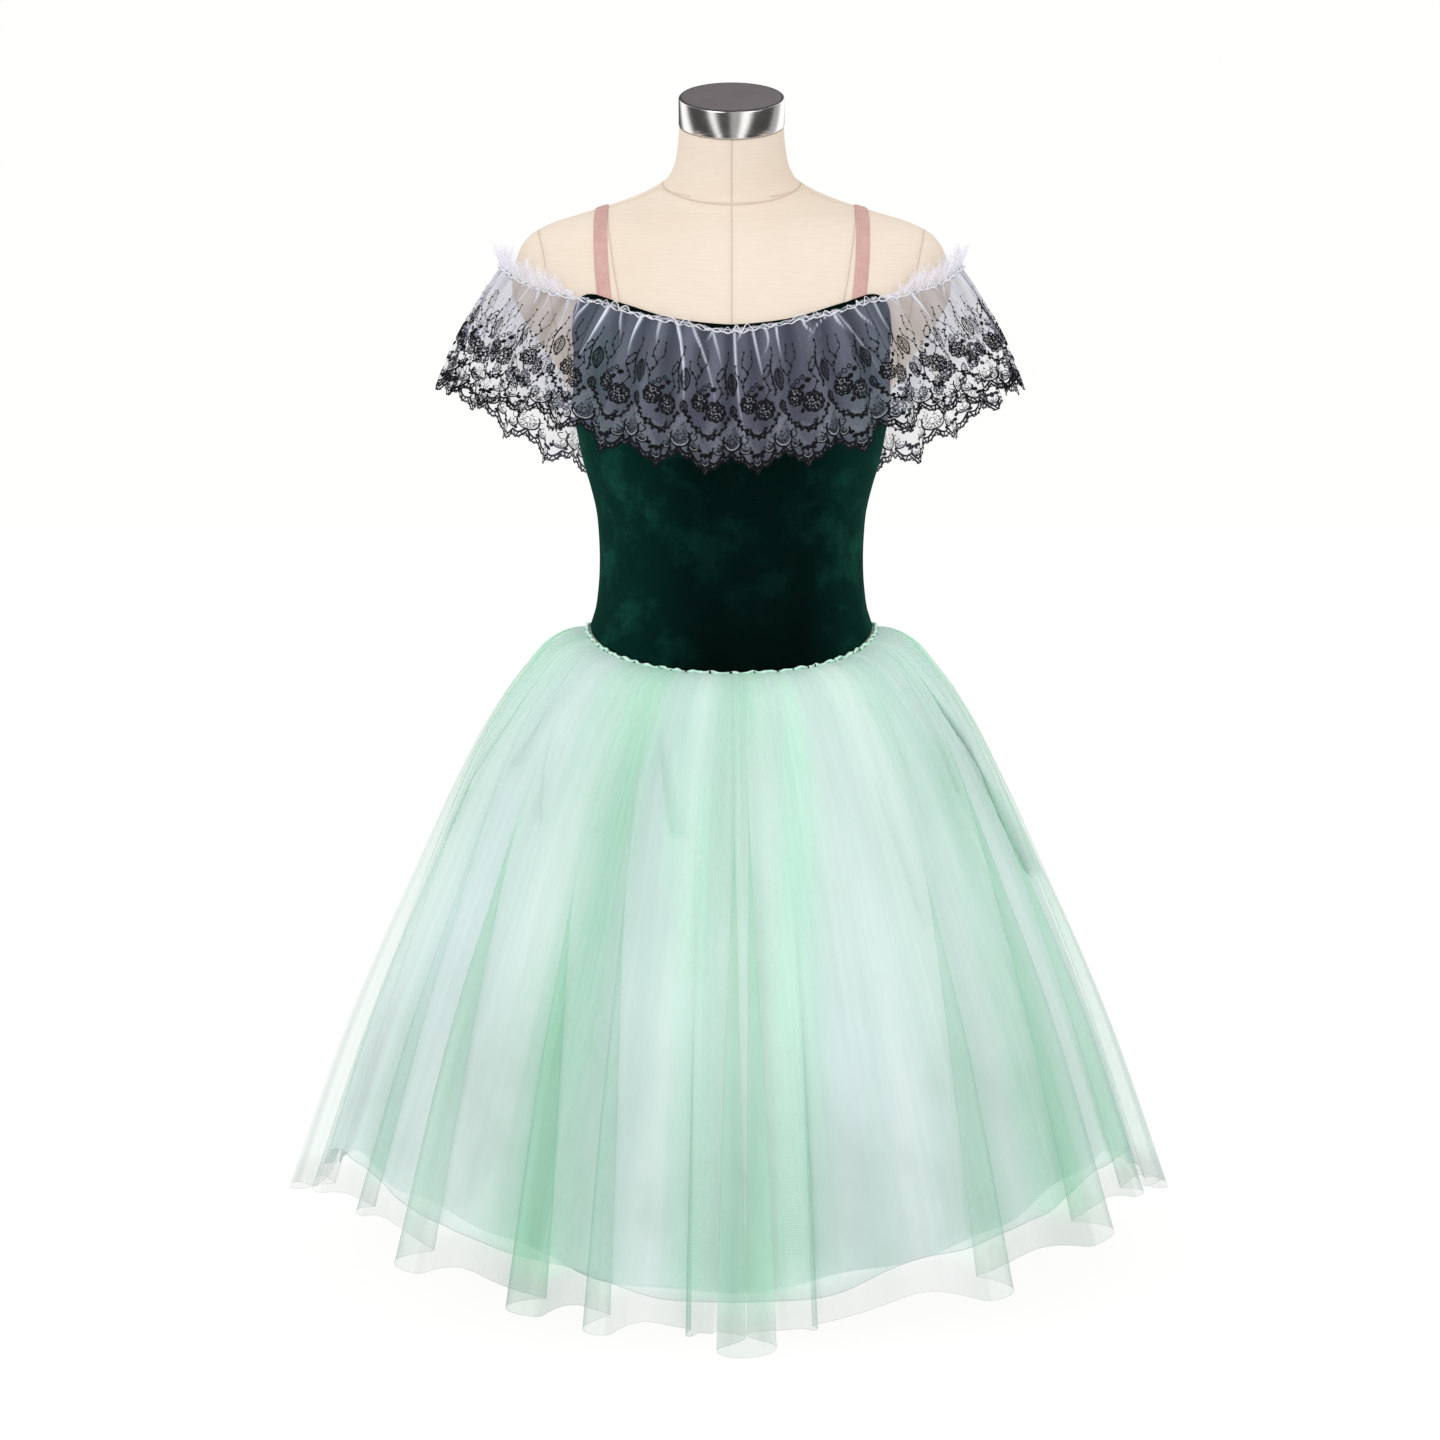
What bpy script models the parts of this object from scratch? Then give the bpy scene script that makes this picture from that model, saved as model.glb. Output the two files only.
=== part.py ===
"""A romantic ballet dress on a limbless dress form.

The dress has a velvet camisole bodice in two panels, two narrow straps, an off-the-shoulder
lace ruffle with a net heading, and a gathered skirt of three net layers. The form is a padded
torso with a steel neck cap, on a short pole and a round foot that the skirt hides.

Metres, +Z up. The dress faces -Y and the wearer's left is at +X. The origin is the centre of
the foot's underside.
"""

import math
from collections import namedtuple

import bmesh
import bpy
from mathutils import Vector
from mathutils.bvhtree import BVHTree

# Clearances and cloth thicknesses
SEAM_GAP = 0.0003
REST_GAP = 0.0007
BODICE_GAP = 0.0018
STRAP_GAP = 0.0014
VELVET = 0.0015
NET = 0.0010
STRAP_THICKNESS = 0.0010

# Stand
FOOT_RADIUS = 0.140
FOOT_HEIGHT = 0.012
FOOT_BEVEL = 0.003
POLE_RADIUS = 0.0125
FORM_BOTTOM_Z = 0.300

# Neck cap
CAP_TILT_DEG = 20.2
CAP_RADIUS = 0.0464
CAP_HEIGHT = 0.0245
CAP_BOTTOM = Vector((0.0, -0.0140, 1.0098))
DISC_RADIUS = 0.0452
DISC_THICKNESS = 0.0012

# Sections of the padded form, from the hips to the top of the neck. Each is a superellipse
# whose plane may lean forward: its back is raised by tilt_deg about the X axis.
Section = namedtuple("Section", "z y tilt_deg half_width front back square")
FORM_SECTIONS = [
    Section(0.300, 0.000, 0.0, 0.1520, 0.0960, 0.1080, 2.20),
    Section(0.345, 0.000, 0.0, 0.1630, 0.1010, 0.1180, 2.20),
    Section(0.400, 0.000, 0.0, 0.1670, 0.1040, 0.1210, 2.20),
    Section(0.450, 0.000, 0.0, 0.1610, 0.1040, 0.1120, 2.20),
    Section(0.500, 0.000, 0.0, 0.1480, 0.1010, 0.0980, 2.20),
    Section(0.540, 0.000, 0.0, 0.1350, 0.0970, 0.0880, 2.20),
    Section(0.576, 0.000, 0.0, 0.1205, 0.0910, 0.0810, 2.15),
    Section(0.600, 0.000, 0.0, 0.1160, 0.0860, 0.0765, 2.15),
    Section(0.625, 0.000, 0.0, 0.1146, 0.0840, 0.0755, 2.15),
    Section(0.648, 0.000, 0.0, 0.1152, 0.0865, 0.0775, 2.15),
    Section(0.670, 0.000, 0.0, 0.1172, 0.0925, 0.0810, 2.20),
    Section(0.692, 0.000, 0.0, 0.1222, 0.1010, 0.0860, 2.25),
    Section(0.715, 0.000, 0.0, 0.1290, 0.1085, 0.0910, 2.30),
    Section(0.742, 0.000, 0.0, 0.1345, 0.1120, 0.0960, 2.30),
    Section(0.768, 0.000, 0.0, 0.1390, 0.1080, 0.1010, 2.25),
    Section(0.790, 0.000, 0.0, 0.1500, 0.1020, 0.1040, 2.20),
    Section(0.815, 0.000, 0.0, 0.1670, 0.0950, 0.1050, 2.20),
    Section(0.840, 0.000, 0.0, 0.1840, 0.0880, 0.1050, 2.20),
    Section(0.861, 0.000, 0.0, 0.1940, 0.0810, 0.1030, 2.20),
    Section(0.885, 0.001, 0.0, 0.1930, 0.0735, 0.0980, 2.20),
    Section(0.905, 0.002, 1.0, 0.1865, 0.0670, 0.0900, 2.20),
    Section(0.917, 0.003, 2.0, 0.1760, 0.0615, 0.0800, 2.15),
    Section(0.926, 0.004, 4.0, 0.1580, 0.0565, 0.0700, 2.10),
    Section(0.933, 0.004, 7.0, 0.1340, 0.0530, 0.0620, 2.05),
    Section(0.941, 0.004, 12.0, 0.1050, 0.0500, 0.0560, 2.00),
    Section(0.950, 0.003, 17.0, 0.0780, 0.0475, 0.0520, 2.00),
    Section(0.961, 0.001, 21.0, 0.0590, 0.0455, 0.0485, 2.00),
    Section(0.974, -0.003, 22.5, 0.0510, 0.0440, 0.0455, 2.00),
    Section(0.991, -0.008, 21.5, 0.0475, 0.0435, 0.0440, 2.00),
    Section(1.0094, -0.0139, CAP_TILT_DEG, 0.0460, 0.0442, 0.0442, 2.00),
]
FORM_COLUMNS = 48
# Spacing of the form's rings between two heights: by the bodice, and under the straps
FORM_RINGS = [(0.530, 0.890, 0.0155), (0.896, 0.953, 0.0058)]
BUST_RISE = 0.0085
BUST_X = 0.072
BUST_Z = 0.742
BUST_SPREAD_X = 0.042
BUST_SPREAD_Z = 0.046

# Top edge of the bodice, by the section angle counted from the side seam towards the front or
# the back centre. The first rows are the armhole, the rest the neckline.
Edge = namedtuple("Edge", "angle_deg front_z back_z")
BODICE_TOP = [
    Edge(0.0, 0.7680, 0.7680),
    Edge(15.0, 0.7760, 0.7760),
    Edge(26.0, 0.7920, 0.7900),
    Edge(36.0, 0.8130, 0.8060),
    Edge(43.0, 0.8370, 0.8230),
    Edge(48.0, 0.8530, 0.8330),
    Edge(53.0, 0.8580, 0.8360),
    Edge(61.0, 0.8500, 0.8270),
    Edge(75.0, 0.8365, 0.8140),
    Edge(90.0, 0.8305, 0.8100),
]

# Waist seam: level at the sides, dipping to a soft point at the front and less at the back
WAIST_SIDE_Z = 0.567
WAIST_FRONT_DIP = 0.033
WAIST_BACK_DIP = 0.013
WAIST_DIP_POWER = 1.25

# Straps
STRAP_WIDTH = 0.0120
STRAP_END_X = 0.1095
STRAP_TOP_X = 0.1150
STRAP_STEPS = 28
STRAP_CENTRE = (0.0, 0.80)
STRAP_RISE = 0.0012

# Ruffle: the gathered line where it is sewn on, and its free edge, from the front centre round
# the wearer's left shoulder to the back centre. The other half is its mirror image.
Station = namedtuple("Station", "top_x top_y top_z free_x free_y free_z sewn")
RUFFLE_STATIONS = [
    Station(0.000, -0.0970, 0.8250, 0.000, -0.1430, 0.7050, 1.0),
    Station(0.042, -0.0960, 0.8275, 0.052, -0.1420, 0.7110, 1.0),
    Station(0.083, -0.0860, 0.8350, 0.103, -0.1360, 0.7240, 1.0),
    Station(0.120, -0.0750, 0.8460, 0.150, -0.1210, 0.7440, 1.0),
    Station(0.152, -0.0620, 0.8580, 0.191, -0.0980, 0.7570, 0.3),
    Station(0.181, -0.0450, 0.8720, 0.226, -0.0660, 0.7680, 0.0),
    Station(0.2000, -0.0200, 0.8850, 0.2490, -0.0270, 0.7770, 0.0),
    Station(0.2010, 0.0180, 0.8850, 0.2510, 0.0200, 0.7740, 0.0),
    Station(0.185, 0.0500, 0.8690, 0.235, 0.0640, 0.7580, 0.0),
    Station(0.156, 0.0750, 0.8510, 0.198, 0.0980, 0.7260, 0.0),
    Station(0.119, 0.0920, 0.8290, 0.152, 0.1220, 0.7010, 0.6),
    Station(0.079, 0.1030, 0.8130, 0.101, 0.1350, 0.6870, 1.0),
    Station(0.039, 0.1080, 0.8060, 0.050, 0.1410, 0.6810, 1.0),
    Station(0.000, 0.1090, 0.8040, 0.000, 0.1430, 0.6790, 1.0),
]
RUFFLE_WAVES = 42
RUFFLE_COLUMNS = 168
RUFFLE_ROWS = [0.0, 0.30, 0.68, 1.0]
SEWN_LIFT = 0.0041
RUFFLE_WAVE_TOP = 0.0012
RUFFLE_WAVE_FREE = 0.0095
RUFFLE_BELLY = 0.006
SCALLOPS = 28
SCALLOP_DEPTH = 0.012
# The side seams between the front, shoulder and back lengths of lace, as shares of the way
# round from the front centre
RUFFLE_SEAMS = [0.1125, 0.3875]
# Half the gap between two lengths at a seam, as a share of the way round
RUFFLE_SEAM_SHARE = 0.0003
HEADING_FRONT = 0.0045
HEADING_SHOULDER = 0.0150
HEADING_LEAN = 0.35
HEADING_WAVE = 0.0022

# Skirt: how far the net has moved out and down at each share of its length
Drop = namedtuple("Drop", "share out down")
SKIRT_PROFILE = [
    Drop(0.00, 0.0000, 0.0000),
    Drop(0.03, 0.0155, 0.0025),
    Drop(0.07, 0.0310, 0.0115),
    Drop(0.12, 0.0455, 0.0290),
    Drop(0.20, 0.0680, 0.0650),
    Drop(0.32, 0.0975, 0.1260),
    Drop(0.50, 0.1330, 0.2200),
    Drop(0.75, 0.1840, 0.3620),
    Drop(1.00, 0.2320, 0.5180),
]
ROWS = (0.0, 0.03, 0.10, 0.22, 0.42, 0.70, 1.0)
Layer = namedtuple("Layer", "name columns rows length lift_top lift_hem wave_hem waves colour")
SKIRT_LAYERS = [
    Layer("skirt_under", 48, ROWS[::2], 0.935, 0.0000, 0.000, 0.0050, 12, (0.80, 0.87, 0.87, 1)),
    Layer("skirt_middle", 64, ROWS[:3] + ROWS[4::2], 0.955, 0.0017, 0.009, 0.0055, 16, (0.84, 0.89, 0.90, 1)),
    Layer("skirt_over", 144, ROWS, 1.000, 0.0034, 0.018, 0.0000, 0, (0.66, 0.86, 0.77, 1)),
]
SKIRT_SEAM_DROP = 0.0052
SKIRT_GATHERS = 36
GATHER_DEPTH = 0.0012
GATHER_LENGTH = 0.16
# Outward folds of the overskirt's hem: place round the hem from the front centre towards the
# wearer's left, half width, height and how much lower the hem hangs there
Flute = namedtuple("Flute", "angle_deg half_deg height longer")
FLUTES = [
    Flute(3.0, 3.8, 0.021, 0.009),
    Flute(36.0, 3.6, 0.020, 0.006),
    Flute(57.0, 3.4, 0.020, 0.004),
    Flute(72.0, 3.4, 0.017, 0.000),
    Flute(91.0, 3.6, 0.021, 0.000),
    Flute(112.0, 3.4, 0.019, 0.003),
    Flute(133.0, 3.8, 0.021, 0.005),
    Flute(154.0, 3.4, 0.018, 0.002),
    Flute(176.0, 3.6, 0.020, 0.006),
    Flute(198.0, 3.8, 0.019, 0.003),
    Flute(219.0, 3.4, 0.020, 0.005),
    Flute(240.0, 3.6, 0.021, 0.000),
    Flute(257.0, 3.2, 0.018, 0.003),
    Flute(271.0, 3.6, 0.021, 0.000),
    Flute(288.0, 3.4, 0.018, 0.002),
    Flute(303.0, 3.2, 0.018, 0.003),
    Flute(316.0, 3.4, 0.021, 0.006),
    Flute(332.0, 4.0, 0.020, 0.005),
]
RIPPLE_HEIGHT = 0.0030
RIPPLES = 26


def blank_file():
    """Empties the scene."""
    for item in list(bpy.data.objects):
        bpy.data.objects.remove(item)


def collection_for(name):
    group = bpy.data.collections.new(name)
    bpy.context.scene.collection.children.link(group)
    return group


def material(name, colour, roughness, metallic=0.0):
    made = bpy.data.materials.new(name)
    made.use_nodes = True
    shader = made.node_tree.nodes["Principled BSDF"]
    shader.inputs["Base Color"].default_value = colour
    shader.inputs["Roughness"].default_value = roughness
    shader.inputs["Metallic"].default_value = metallic
    return made


def smooth_step(low, high, value):
    share = min(1.0, max(0.0, (value - low) / (high - low)))
    return share * share * (3.0 - 2.0 * share)


def hermite(before, start, end, after, share):
    """Catmull-Rom value between start and end."""
    out = 0.5 * (end - before)
    into = 0.5 * (after - start)
    a = 2.0 * start - 2.0 * end + out + into
    b = -3.0 * start + 3.0 * end - 2.0 * out - into
    return ((a * share + b) * share + out) * share + start


def look_up(table, key, value):
    """The row of a table of named columns at key = value, read from a smooth curve."""
    keys = [getattr(row, key) for row in table]
    last = len(table) - 2
    index = max(i for i in range(last + 1) if i == 0 or keys[i] <= value)
    share = min(1.0, max(0.0, (value - keys[index]) / (keys[index + 1] - keys[index])))
    rows = [table[min(max(index + step, 0), last + 1)] for step in (-1, 0, 1, 2)]
    columns = zip(*rows)
    return type(table[0])(*(hermite(*column, share) for column in columns))


def form_point(z, angle):
    """A point of the padded form: angle 0 is at +X, a quarter turn is the front centre."""
    row = look_up(FORM_SECTIONS, "z", z)
    power = 2.0 / row.square
    across, along = math.cos(angle), math.sin(angle)
    x = row.half_width * math.copysign(abs(across) ** power, across)
    depth = row.front if along > 0 else row.back
    reach = depth * math.copysign(abs(along) ** power, along)
    if along > 0:
        rise_x = math.exp(-(((abs(x) - BUST_X) / BUST_SPREAD_X) ** 2))
        rise_z = math.exp(-(((z - BUST_Z) / BUST_SPREAD_Z) ** 2))
        reach += BUST_RISE * rise_x * rise_z * along
    tilt = math.radians(row.tilt_deg)
    return Vector((x, row.y - reach * math.cos(tilt), z - reach * math.sin(tilt)))


def form_normal(z, angle):
    step_z, step_angle = 0.002, 0.02
    up = form_point(z + step_z, angle) - form_point(z - step_z, angle)
    round_it = form_point(z, angle + step_angle) - form_point(z, angle - step_angle)
    return up.cross(round_it).normalized()


def off_form(z, angle, distance):
    return form_point(z, angle) + form_normal(z, angle) * distance


def form_reach(z, direction):
    """How far the form reaches from its axis at height z, in a level direction."""
    row = look_up(FORM_SECTIONS, "z", z)
    depth = row.front if math.sin(direction) > 0 else row.back
    shape = (abs(math.cos(direction)) / row.half_width) ** row.square
    shape += (abs(math.sin(direction)) / depth) ** row.square
    return shape ** (-1.0 / row.square)


def side_angle(angle):
    """The angle counted from the nearer side seam, in degrees."""
    degrees = math.degrees(angle) % 180.0
    return min(degrees, 180.0 - degrees)


def bodice_top_z(angle):
    row = look_up(BODICE_TOP, "angle_deg", side_angle(angle))
    return row.front_z if math.sin(angle) >= 0 else row.back_z


def waist_z(angle):
    dip = WAIST_FRONT_DIP if math.sin(angle) > 0 else WAIST_BACK_DIP
    return WAIST_SIDE_Z - dip * abs(math.sin(angle)) ** WAIST_DIP_POWER


def add_object(name, mesh, look, group):
    item = bpy.data.objects.new(name, mesh)
    mesh.materials.append(look)
    group.objects.link(item)
    return item


def cloth(name, rows, closed, thickness, look, group, outward=1.0):
    """A cloth wall: an open sheet through rows of points, top row first, with Solidify."""
    sheet = bmesh.new()
    grid = [[sheet.verts.new(point) for point in row] for row in rows]
    columns = len(grid[0])
    for upper, lower in zip(grid, grid[1:]):
        for column in range(columns if closed else columns - 1):
            beside = (column + 1) % columns
            corners = (upper[column], upper[beside], lower[beside], lower[column])
            sheet.faces.new(corners)
    mesh = bpy.data.meshes.new(name)
    sheet.to_mesh(mesh)
    sheet.free()
    mesh.shade_smooth()
    item = add_object(name, mesh, look, group)
    wall = item.modifiers.new("wall", "SOLIDIFY")
    wall.thickness = thickness
    wall.offset = outward
    return item


def spread(start, end, count):
    return [start + (end - start) * step / count for step in range(count + 1)]


def form_heights():
    """The rings of the form: close where cloth lies on it, its own sections elsewhere."""
    heights = []
    for low, high, spacing in FORM_RINGS:
        heights += spread(low, high, round((high - low) / spacing))
    lowest, highest = FORM_RINGS[0][0], FORM_RINGS[-1][1]
    outside = [row.z for row in FORM_SECTIONS if row.z < lowest - 0.01 or row.z > highest]
    return sorted(heights + outside)


def build_form(look, group):
    """The padded torso and neck, lofted through the sections and closed at both ends."""
    columns = FORM_COLUMNS
    body = bmesh.new()
    rings = []
    for z in form_heights():
        turn = [math.tau * step / columns for step in range(columns)]
        rings.append([body.verts.new(form_point(z, angle)) for angle in turn])
    for lower, upper in zip(rings, rings[1:]):
        for column in range(columns):
            beside = (column + 1) % columns
            body.faces.new((upper[column], upper[beside], lower[beside], lower[column]))
    body.faces.new(rings[0])
    body.faces.new(rings[-1])
    bmesh.ops.recalc_face_normals(body, faces=body.faces)
    mesh = bpy.data.meshes.new("dress_form")
    body.to_mesh(mesh)
    body.free()
    mesh.shade_smooth()
    mesh.set_sharp_from_angle(angle=math.radians(50))
    return add_object("dress_form", mesh, look, group)


def cylinder(name, radius, height, centre, look, group, sides=48, tilt_deg=0.0, bevel=0.0):
    body = bmesh.new()
    bmesh.ops.create_cone(
        body, cap_ends=True, segments=sides, radius1=radius, radius2=radius, depth=height
    )
    mesh = bpy.data.meshes.new(name)
    body.to_mesh(mesh)
    body.free()
    mesh.shade_smooth()
    mesh.set_sharp_from_angle(angle=math.radians(40))
    item = add_object(name, mesh, look, group)
    item.location = centre
    item.rotation_euler.x = math.radians(tilt_deg)
    if bevel:
        edge = item.modifiers.new("edge", "BEVEL")
        edge.width = bevel
        edge.segments = 1
        edge.limit_method = "ANGLE"
    return item


def build_stand(steel, group):
    middle = FOOT_HEIGHT / 2
    foot_at = Vector((0, 0, middle))
    cylinder("stand_foot", FOOT_RADIUS, FOOT_HEIGHT, foot_at, steel, group, 48, 0.0, FOOT_BEVEL)
    bottom = FOOT_HEIGHT + SEAM_GAP
    top = FORM_BOTTOM_Z - SEAM_GAP
    pole_at = Vector((0, 0, (bottom + top) / 2))
    cylinder("stand_pole", POLE_RADIUS, top - bottom, pole_at, steel, group, 24)


def build_neck_cap(steel, dark, group):
    tilt = math.radians(CAP_TILT_DEG)
    up = Vector((0, -math.sin(tilt), math.cos(tilt)))
    ring_at = CAP_BOTTOM + up * (SEAM_GAP + CAP_HEIGHT / 2)
    disc_at = CAP_BOTTOM + up * (2 * SEAM_GAP + CAP_HEIGHT + DISC_THICKNESS / 2)
    cylinder("neck_cap_ring", CAP_RADIUS, CAP_HEIGHT, ring_at, steel, group, 36, CAP_TILT_DEG)
    cylinder("neck_cap_disc", DISC_RADIUS, DISC_THICKNESS, disc_at, dark, group, 36, CAP_TILT_DEG)


def build_bodice(name, start, velvet, group):
    """One velvet panel, half way round from the side seam at the angle start."""
    rows = 14
    seam = SEAM_GAP / 2 / FORM_SECTIONS[8].half_width
    angles = spread(start, start + math.pi, FORM_COLUMNS // 2)
    angles[0] += seam
    angles[-1] -= seam
    grid = []
    for row in range(rows + 1):
        share = row / rows
        line = []
        for angle in angles:
            top, waist = bodice_top_z(angle), waist_z(angle)
            line.append(off_form(top + (waist - top) * share, angle, BODICE_GAP))
        grid.append(line)
    return cloth(name, grid, False, VELVET, velvet, group)


def strap_point(aside, degrees, surface):
    """The form under the strap, seen from STRAP_CENTRE: 0 is level to the front, 180 the back."""
    turn = math.radians(degrees)
    x = STRAP_END_X + (STRAP_TOP_X - STRAP_END_X) * smooth_step(0.5, 1.0, math.sin(turn)) + aside
    ray = Vector((0.0, -math.cos(turn), math.sin(turn)))
    centre = Vector((x, STRAP_CENTRE[0], STRAP_CENTRE[1]))
    point, normal, _, _ = surface.ray_cast(centre + ray, -ray)
    return point, normal


def strap_end(aside, start, step, surface):
    """The first direction from start in which the strap has cleared the neckline."""
    degrees = start
    for _ in range(600):
        point, _ = strap_point(aside, degrees, surface)
        row = look_up(FORM_SECTIONS, "z", point.z)
        across = min(1.0, point.x / row.half_width) ** (row.square / 2.0)
        angle = math.copysign(math.acos(across), -point.y)
        if point.z > bodice_top_z(angle) + STRAP_RISE:
            return degrees
        degrees += step
    return degrees


def build_strap(name, side, pink, surface, group):
    """A band over the shoulder, laid on the form from the front neckline to the back one."""
    edges = [-STRAP_WIDTH / 2, STRAP_WIDTH / 2]
    if side < 0:
        edges.reverse()
    lines = []
    for aside in edges:
        front = strap_end(aside, 20.0, 0.1, surface)
        back = strap_end(aside, 170.0, -0.1, surface)
        line = []
        for degrees in spread(front, back, STRAP_STEPS):
            point, normal = strap_point(aside, degrees, surface)
            point += normal * STRAP_GAP
            line.append(Vector((side * point.x, point.y, point.z)))
        lines.append(line)
    grid = [list(pair) for pair in zip(*lines)]
    return cloth(name, grid, False, STRAP_THICKNESS, pink, group)


def ruffle_station(share):
    """The ruffle's row of columns at a share of the way round from the front centre."""
    stations = len(RUFFLE_STATIONS) - 1
    place = (share % 1.0) * 2 * stations
    index = int(place)
    rows = []
    for step in (-1, 0, 1, 2):
        at = (index + step) % (2 * stations)
        mirrored = at > stations
        row = RUFFLE_STATIONS[2 * stations - at if mirrored else at]
        sign = -1.0 if mirrored else 1.0
        rows.append(row._replace(top_x=sign * row.top_x, free_x=sign * row.free_x))
    columns = zip(*rows)
    return Station(*(hermite(*column, place - index) for column in columns))


def ruffle_top(share):
    """A point of the gathered line. Where it is sewn on, it lies just off the velvet."""
    row = ruffle_station(share)
    point = Vector((row.top_x, row.top_y, row.top_z))
    direction = math.atan2(-row.top_y, row.top_x)
    sewn_reach = form_reach(row.top_z, direction) + SEWN_LIFT
    level = Vector((row.top_x, row.top_y))
    sewn = min(1.0, max(0.0, row.sewn))
    reach = level.length + (sewn_reach - level.length) * sewn
    level = level.normalized() * reach
    return Vector((level.x, level.y, point.z))


def scallop(share):
    """How far the free edge is cut back: pointed scallops, each with small lobes on its sides."""
    phase = (share * SCALLOPS) % 1.0
    point = 1.0 - abs(2.0 * phase - 1.0)
    lobe = abs(math.sin(3.0 * math.pi * phase))
    return SCALLOP_DEPTH * (1.0 - 0.80 * point - 0.20 * lobe)


def ruffle_point(share, down):
    """A point of the lace at a share of the way round and of the way down."""
    row = ruffle_station(share)
    top = ruffle_top(share)
    free = Vector((row.free_x, row.free_y, row.free_z))
    outward = Vector((free.x, free.y, 0)).normalized()
    point = top.lerp(free, down)
    point += outward * RUFFLE_BELLY * math.sin(math.pi * down)
    size = RUFFLE_WAVE_TOP + (RUFFLE_WAVE_FREE - RUFFLE_WAVE_TOP) * down
    wave = 0.5 - 0.5 * math.cos(math.tau * share * RUFFLE_WAVES)
    point += outward * size * wave
    point.z += scallop(share) * down ** 6
    return point


def heading_point(share):
    """A point of the net's own edge, which stands up as a frill above the gathered line."""
    row = ruffle_station(share)
    foot = ruffle_point(share, 0.0)
    outward = Vector((foot.x, foot.y, 0)).normalized()
    free_length = smooth_step(0.25, 0.9, 1.0 - row.sewn)
    height = HEADING_FRONT + (HEADING_SHOULDER - HEADING_FRONT) * free_length
    wave = 0.5 - 0.5 * math.cos(math.tau * share * RUFFLE_WAVES)
    lean = HEADING_LEAN * height * free_length
    return foot + Vector((0, 0, height)) + outward * (lean + HEADING_WAVE * wave)


def build_ruffle(lace, group):
    """Four lengths of lace, seamed end to end, each with its heading above the gathers."""
    first, second = RUFFLE_SEAMS
    seam = RUFFLE_SEAM_SHARE
    lengths = {
        "front": (-first, first),
        "left": (first, second),
        "back": (second, 1.0 - second),
        "right": (1.0 - second, 1.0 - first),
    }
    for name, (start, end) in lengths.items():
        count = round((end - start) * RUFFLE_COLUMNS)
        shares = spread(end - seam, start + seam, count)
        rows = [[heading_point(share) for share in shares]]
        rows += [[ruffle_point(share, down) for share in shares] for down in RUFFLE_ROWS]
        cloth(f"ruffle_{name}", rows, False, NET, lace, group)


def hem_angle(point):
    """Degrees round the hem from the front centre towards the wearer's left."""
    return math.degrees(math.atan2(point.x, -point.y)) % 360.0


def flute_at(degrees):
    """The overskirt's folds: steep-sided flutes with small ripples between. Height and drop."""
    height, longer = 0.0, 0.0
    for flute in FLUTES:
        away = (degrees - flute.angle_deg + 180.0) % 360.0 - 180.0
        size = 1.0 / (1.0 + (away / flute.half_deg) ** 4)
        height = max(height, flute.height * size)
        longer = max(longer, flute.longer * size)
    ripple = 0.5 + 0.5 * math.cos(math.radians(degrees) * RIPPLES)
    return height + RIPPLE_HEIGHT * ripple * (1.0 - height / 0.021), longer


def skirt_point(layer, angle, share):
    """A point of a skirt layer at an angle of the waist seam and a share of its length."""
    drop = look_up(SKIRT_PROFILE, "share", share)
    ahead = look_up(SKIRT_PROFILE, "share", min(1.0, share + 0.01))
    behind = look_up(SKIRT_PROFILE, "share", max(0.0, share - 0.01))
    seam_z = waist_z(angle) - SKIRT_SEAM_DROP
    seam = off_form(seam_z, angle, REST_GAP)
    outward = form_normal(seam_z, angle)
    outward.z = 0.0
    outward.normalize()
    across = ahead.out - behind.out
    fall = ahead.down - behind.down
    normal = (outward * fall + Vector((0, 0, across))).normalized()
    point = seam + outward * drop.out
    point.z -= drop.down
    lift = layer.lift_top + (layer.lift_hem - layer.lift_top) * share ** 0.5
    if layer.waves:
        wave = layer.wave_hem * share * (0.5 - 0.5 * math.cos(angle * layer.waves))
    else:
        height, longer = flute_at(hem_angle(outward))
        wave = height * smooth_step(0.03, 1.05, share)
        point.z -= longer * smooth_step(0.6, 1.0, share)
        gather = 0.5 - 0.5 * math.cos(angle * SKIRT_GATHERS)
        wave += GATHER_DEPTH * gather * (1.0 - smooth_step(0.0, GATHER_LENGTH, share))
    return point + normal * lift + outward * wave


def build_skirt(net_looks, group):
    """Three gathered net layers, each a tube that is open at the waist and the hem."""
    for layer in SKIRT_LAYERS:
        angles = [math.tau * step / layer.columns for step in range(layer.columns)]
        grid = []
        for row in layer.rows:
            share = row * (1.0 - (1.0 - layer.length) * row)
            grid.append([skirt_point(layer, angle, share) for angle in angles])
        cloth(layer.name, grid, True, NET, net_looks[layer.name], group)


def main():
    blank_file()
    group = collection_for("ballet_dress")
    canvas = material("form_canvas", (0.86, 0.77, 0.65, 1), 0.85)
    steel = material("brushed_steel", (0.62, 0.61, 0.60, 1), 0.30, 1.0)
    dark = material("cap_top", (0.16, 0.14, 0.15, 1), 0.5)
    velvet = material("green_velvet", (0.005, 0.05, 0.035, 1), 0.8)
    pink = material("strap_elastic", (0.62, 0.37, 0.35, 1), 0.6)
    lace = material("black_lace", (0.28, 0.30, 0.33, 1), 0.8)
    skirts = {}
    for layer in SKIRT_LAYERS:
        skirts[layer.name] = material(f"{layer.name}_net", layer.colour, 0.8)

    form = build_form(canvas, group)
    surface = BVHTree.FromObject(form, bpy.context.evaluated_depsgraph_get())
    build_neck_cap(steel, dark, group)
    build_stand(steel, group)
    build_bodice("bodice_front", 0.0, velvet, group)
    build_bodice("bodice_back", math.pi, velvet, group)
    build_strap("strap_left", 1.0, pink, surface, group)
    build_strap("strap_right", -1.0, pink, surface, group)
    build_ruffle(lace, group)
    build_skirt(skirts, group)


main()
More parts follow.
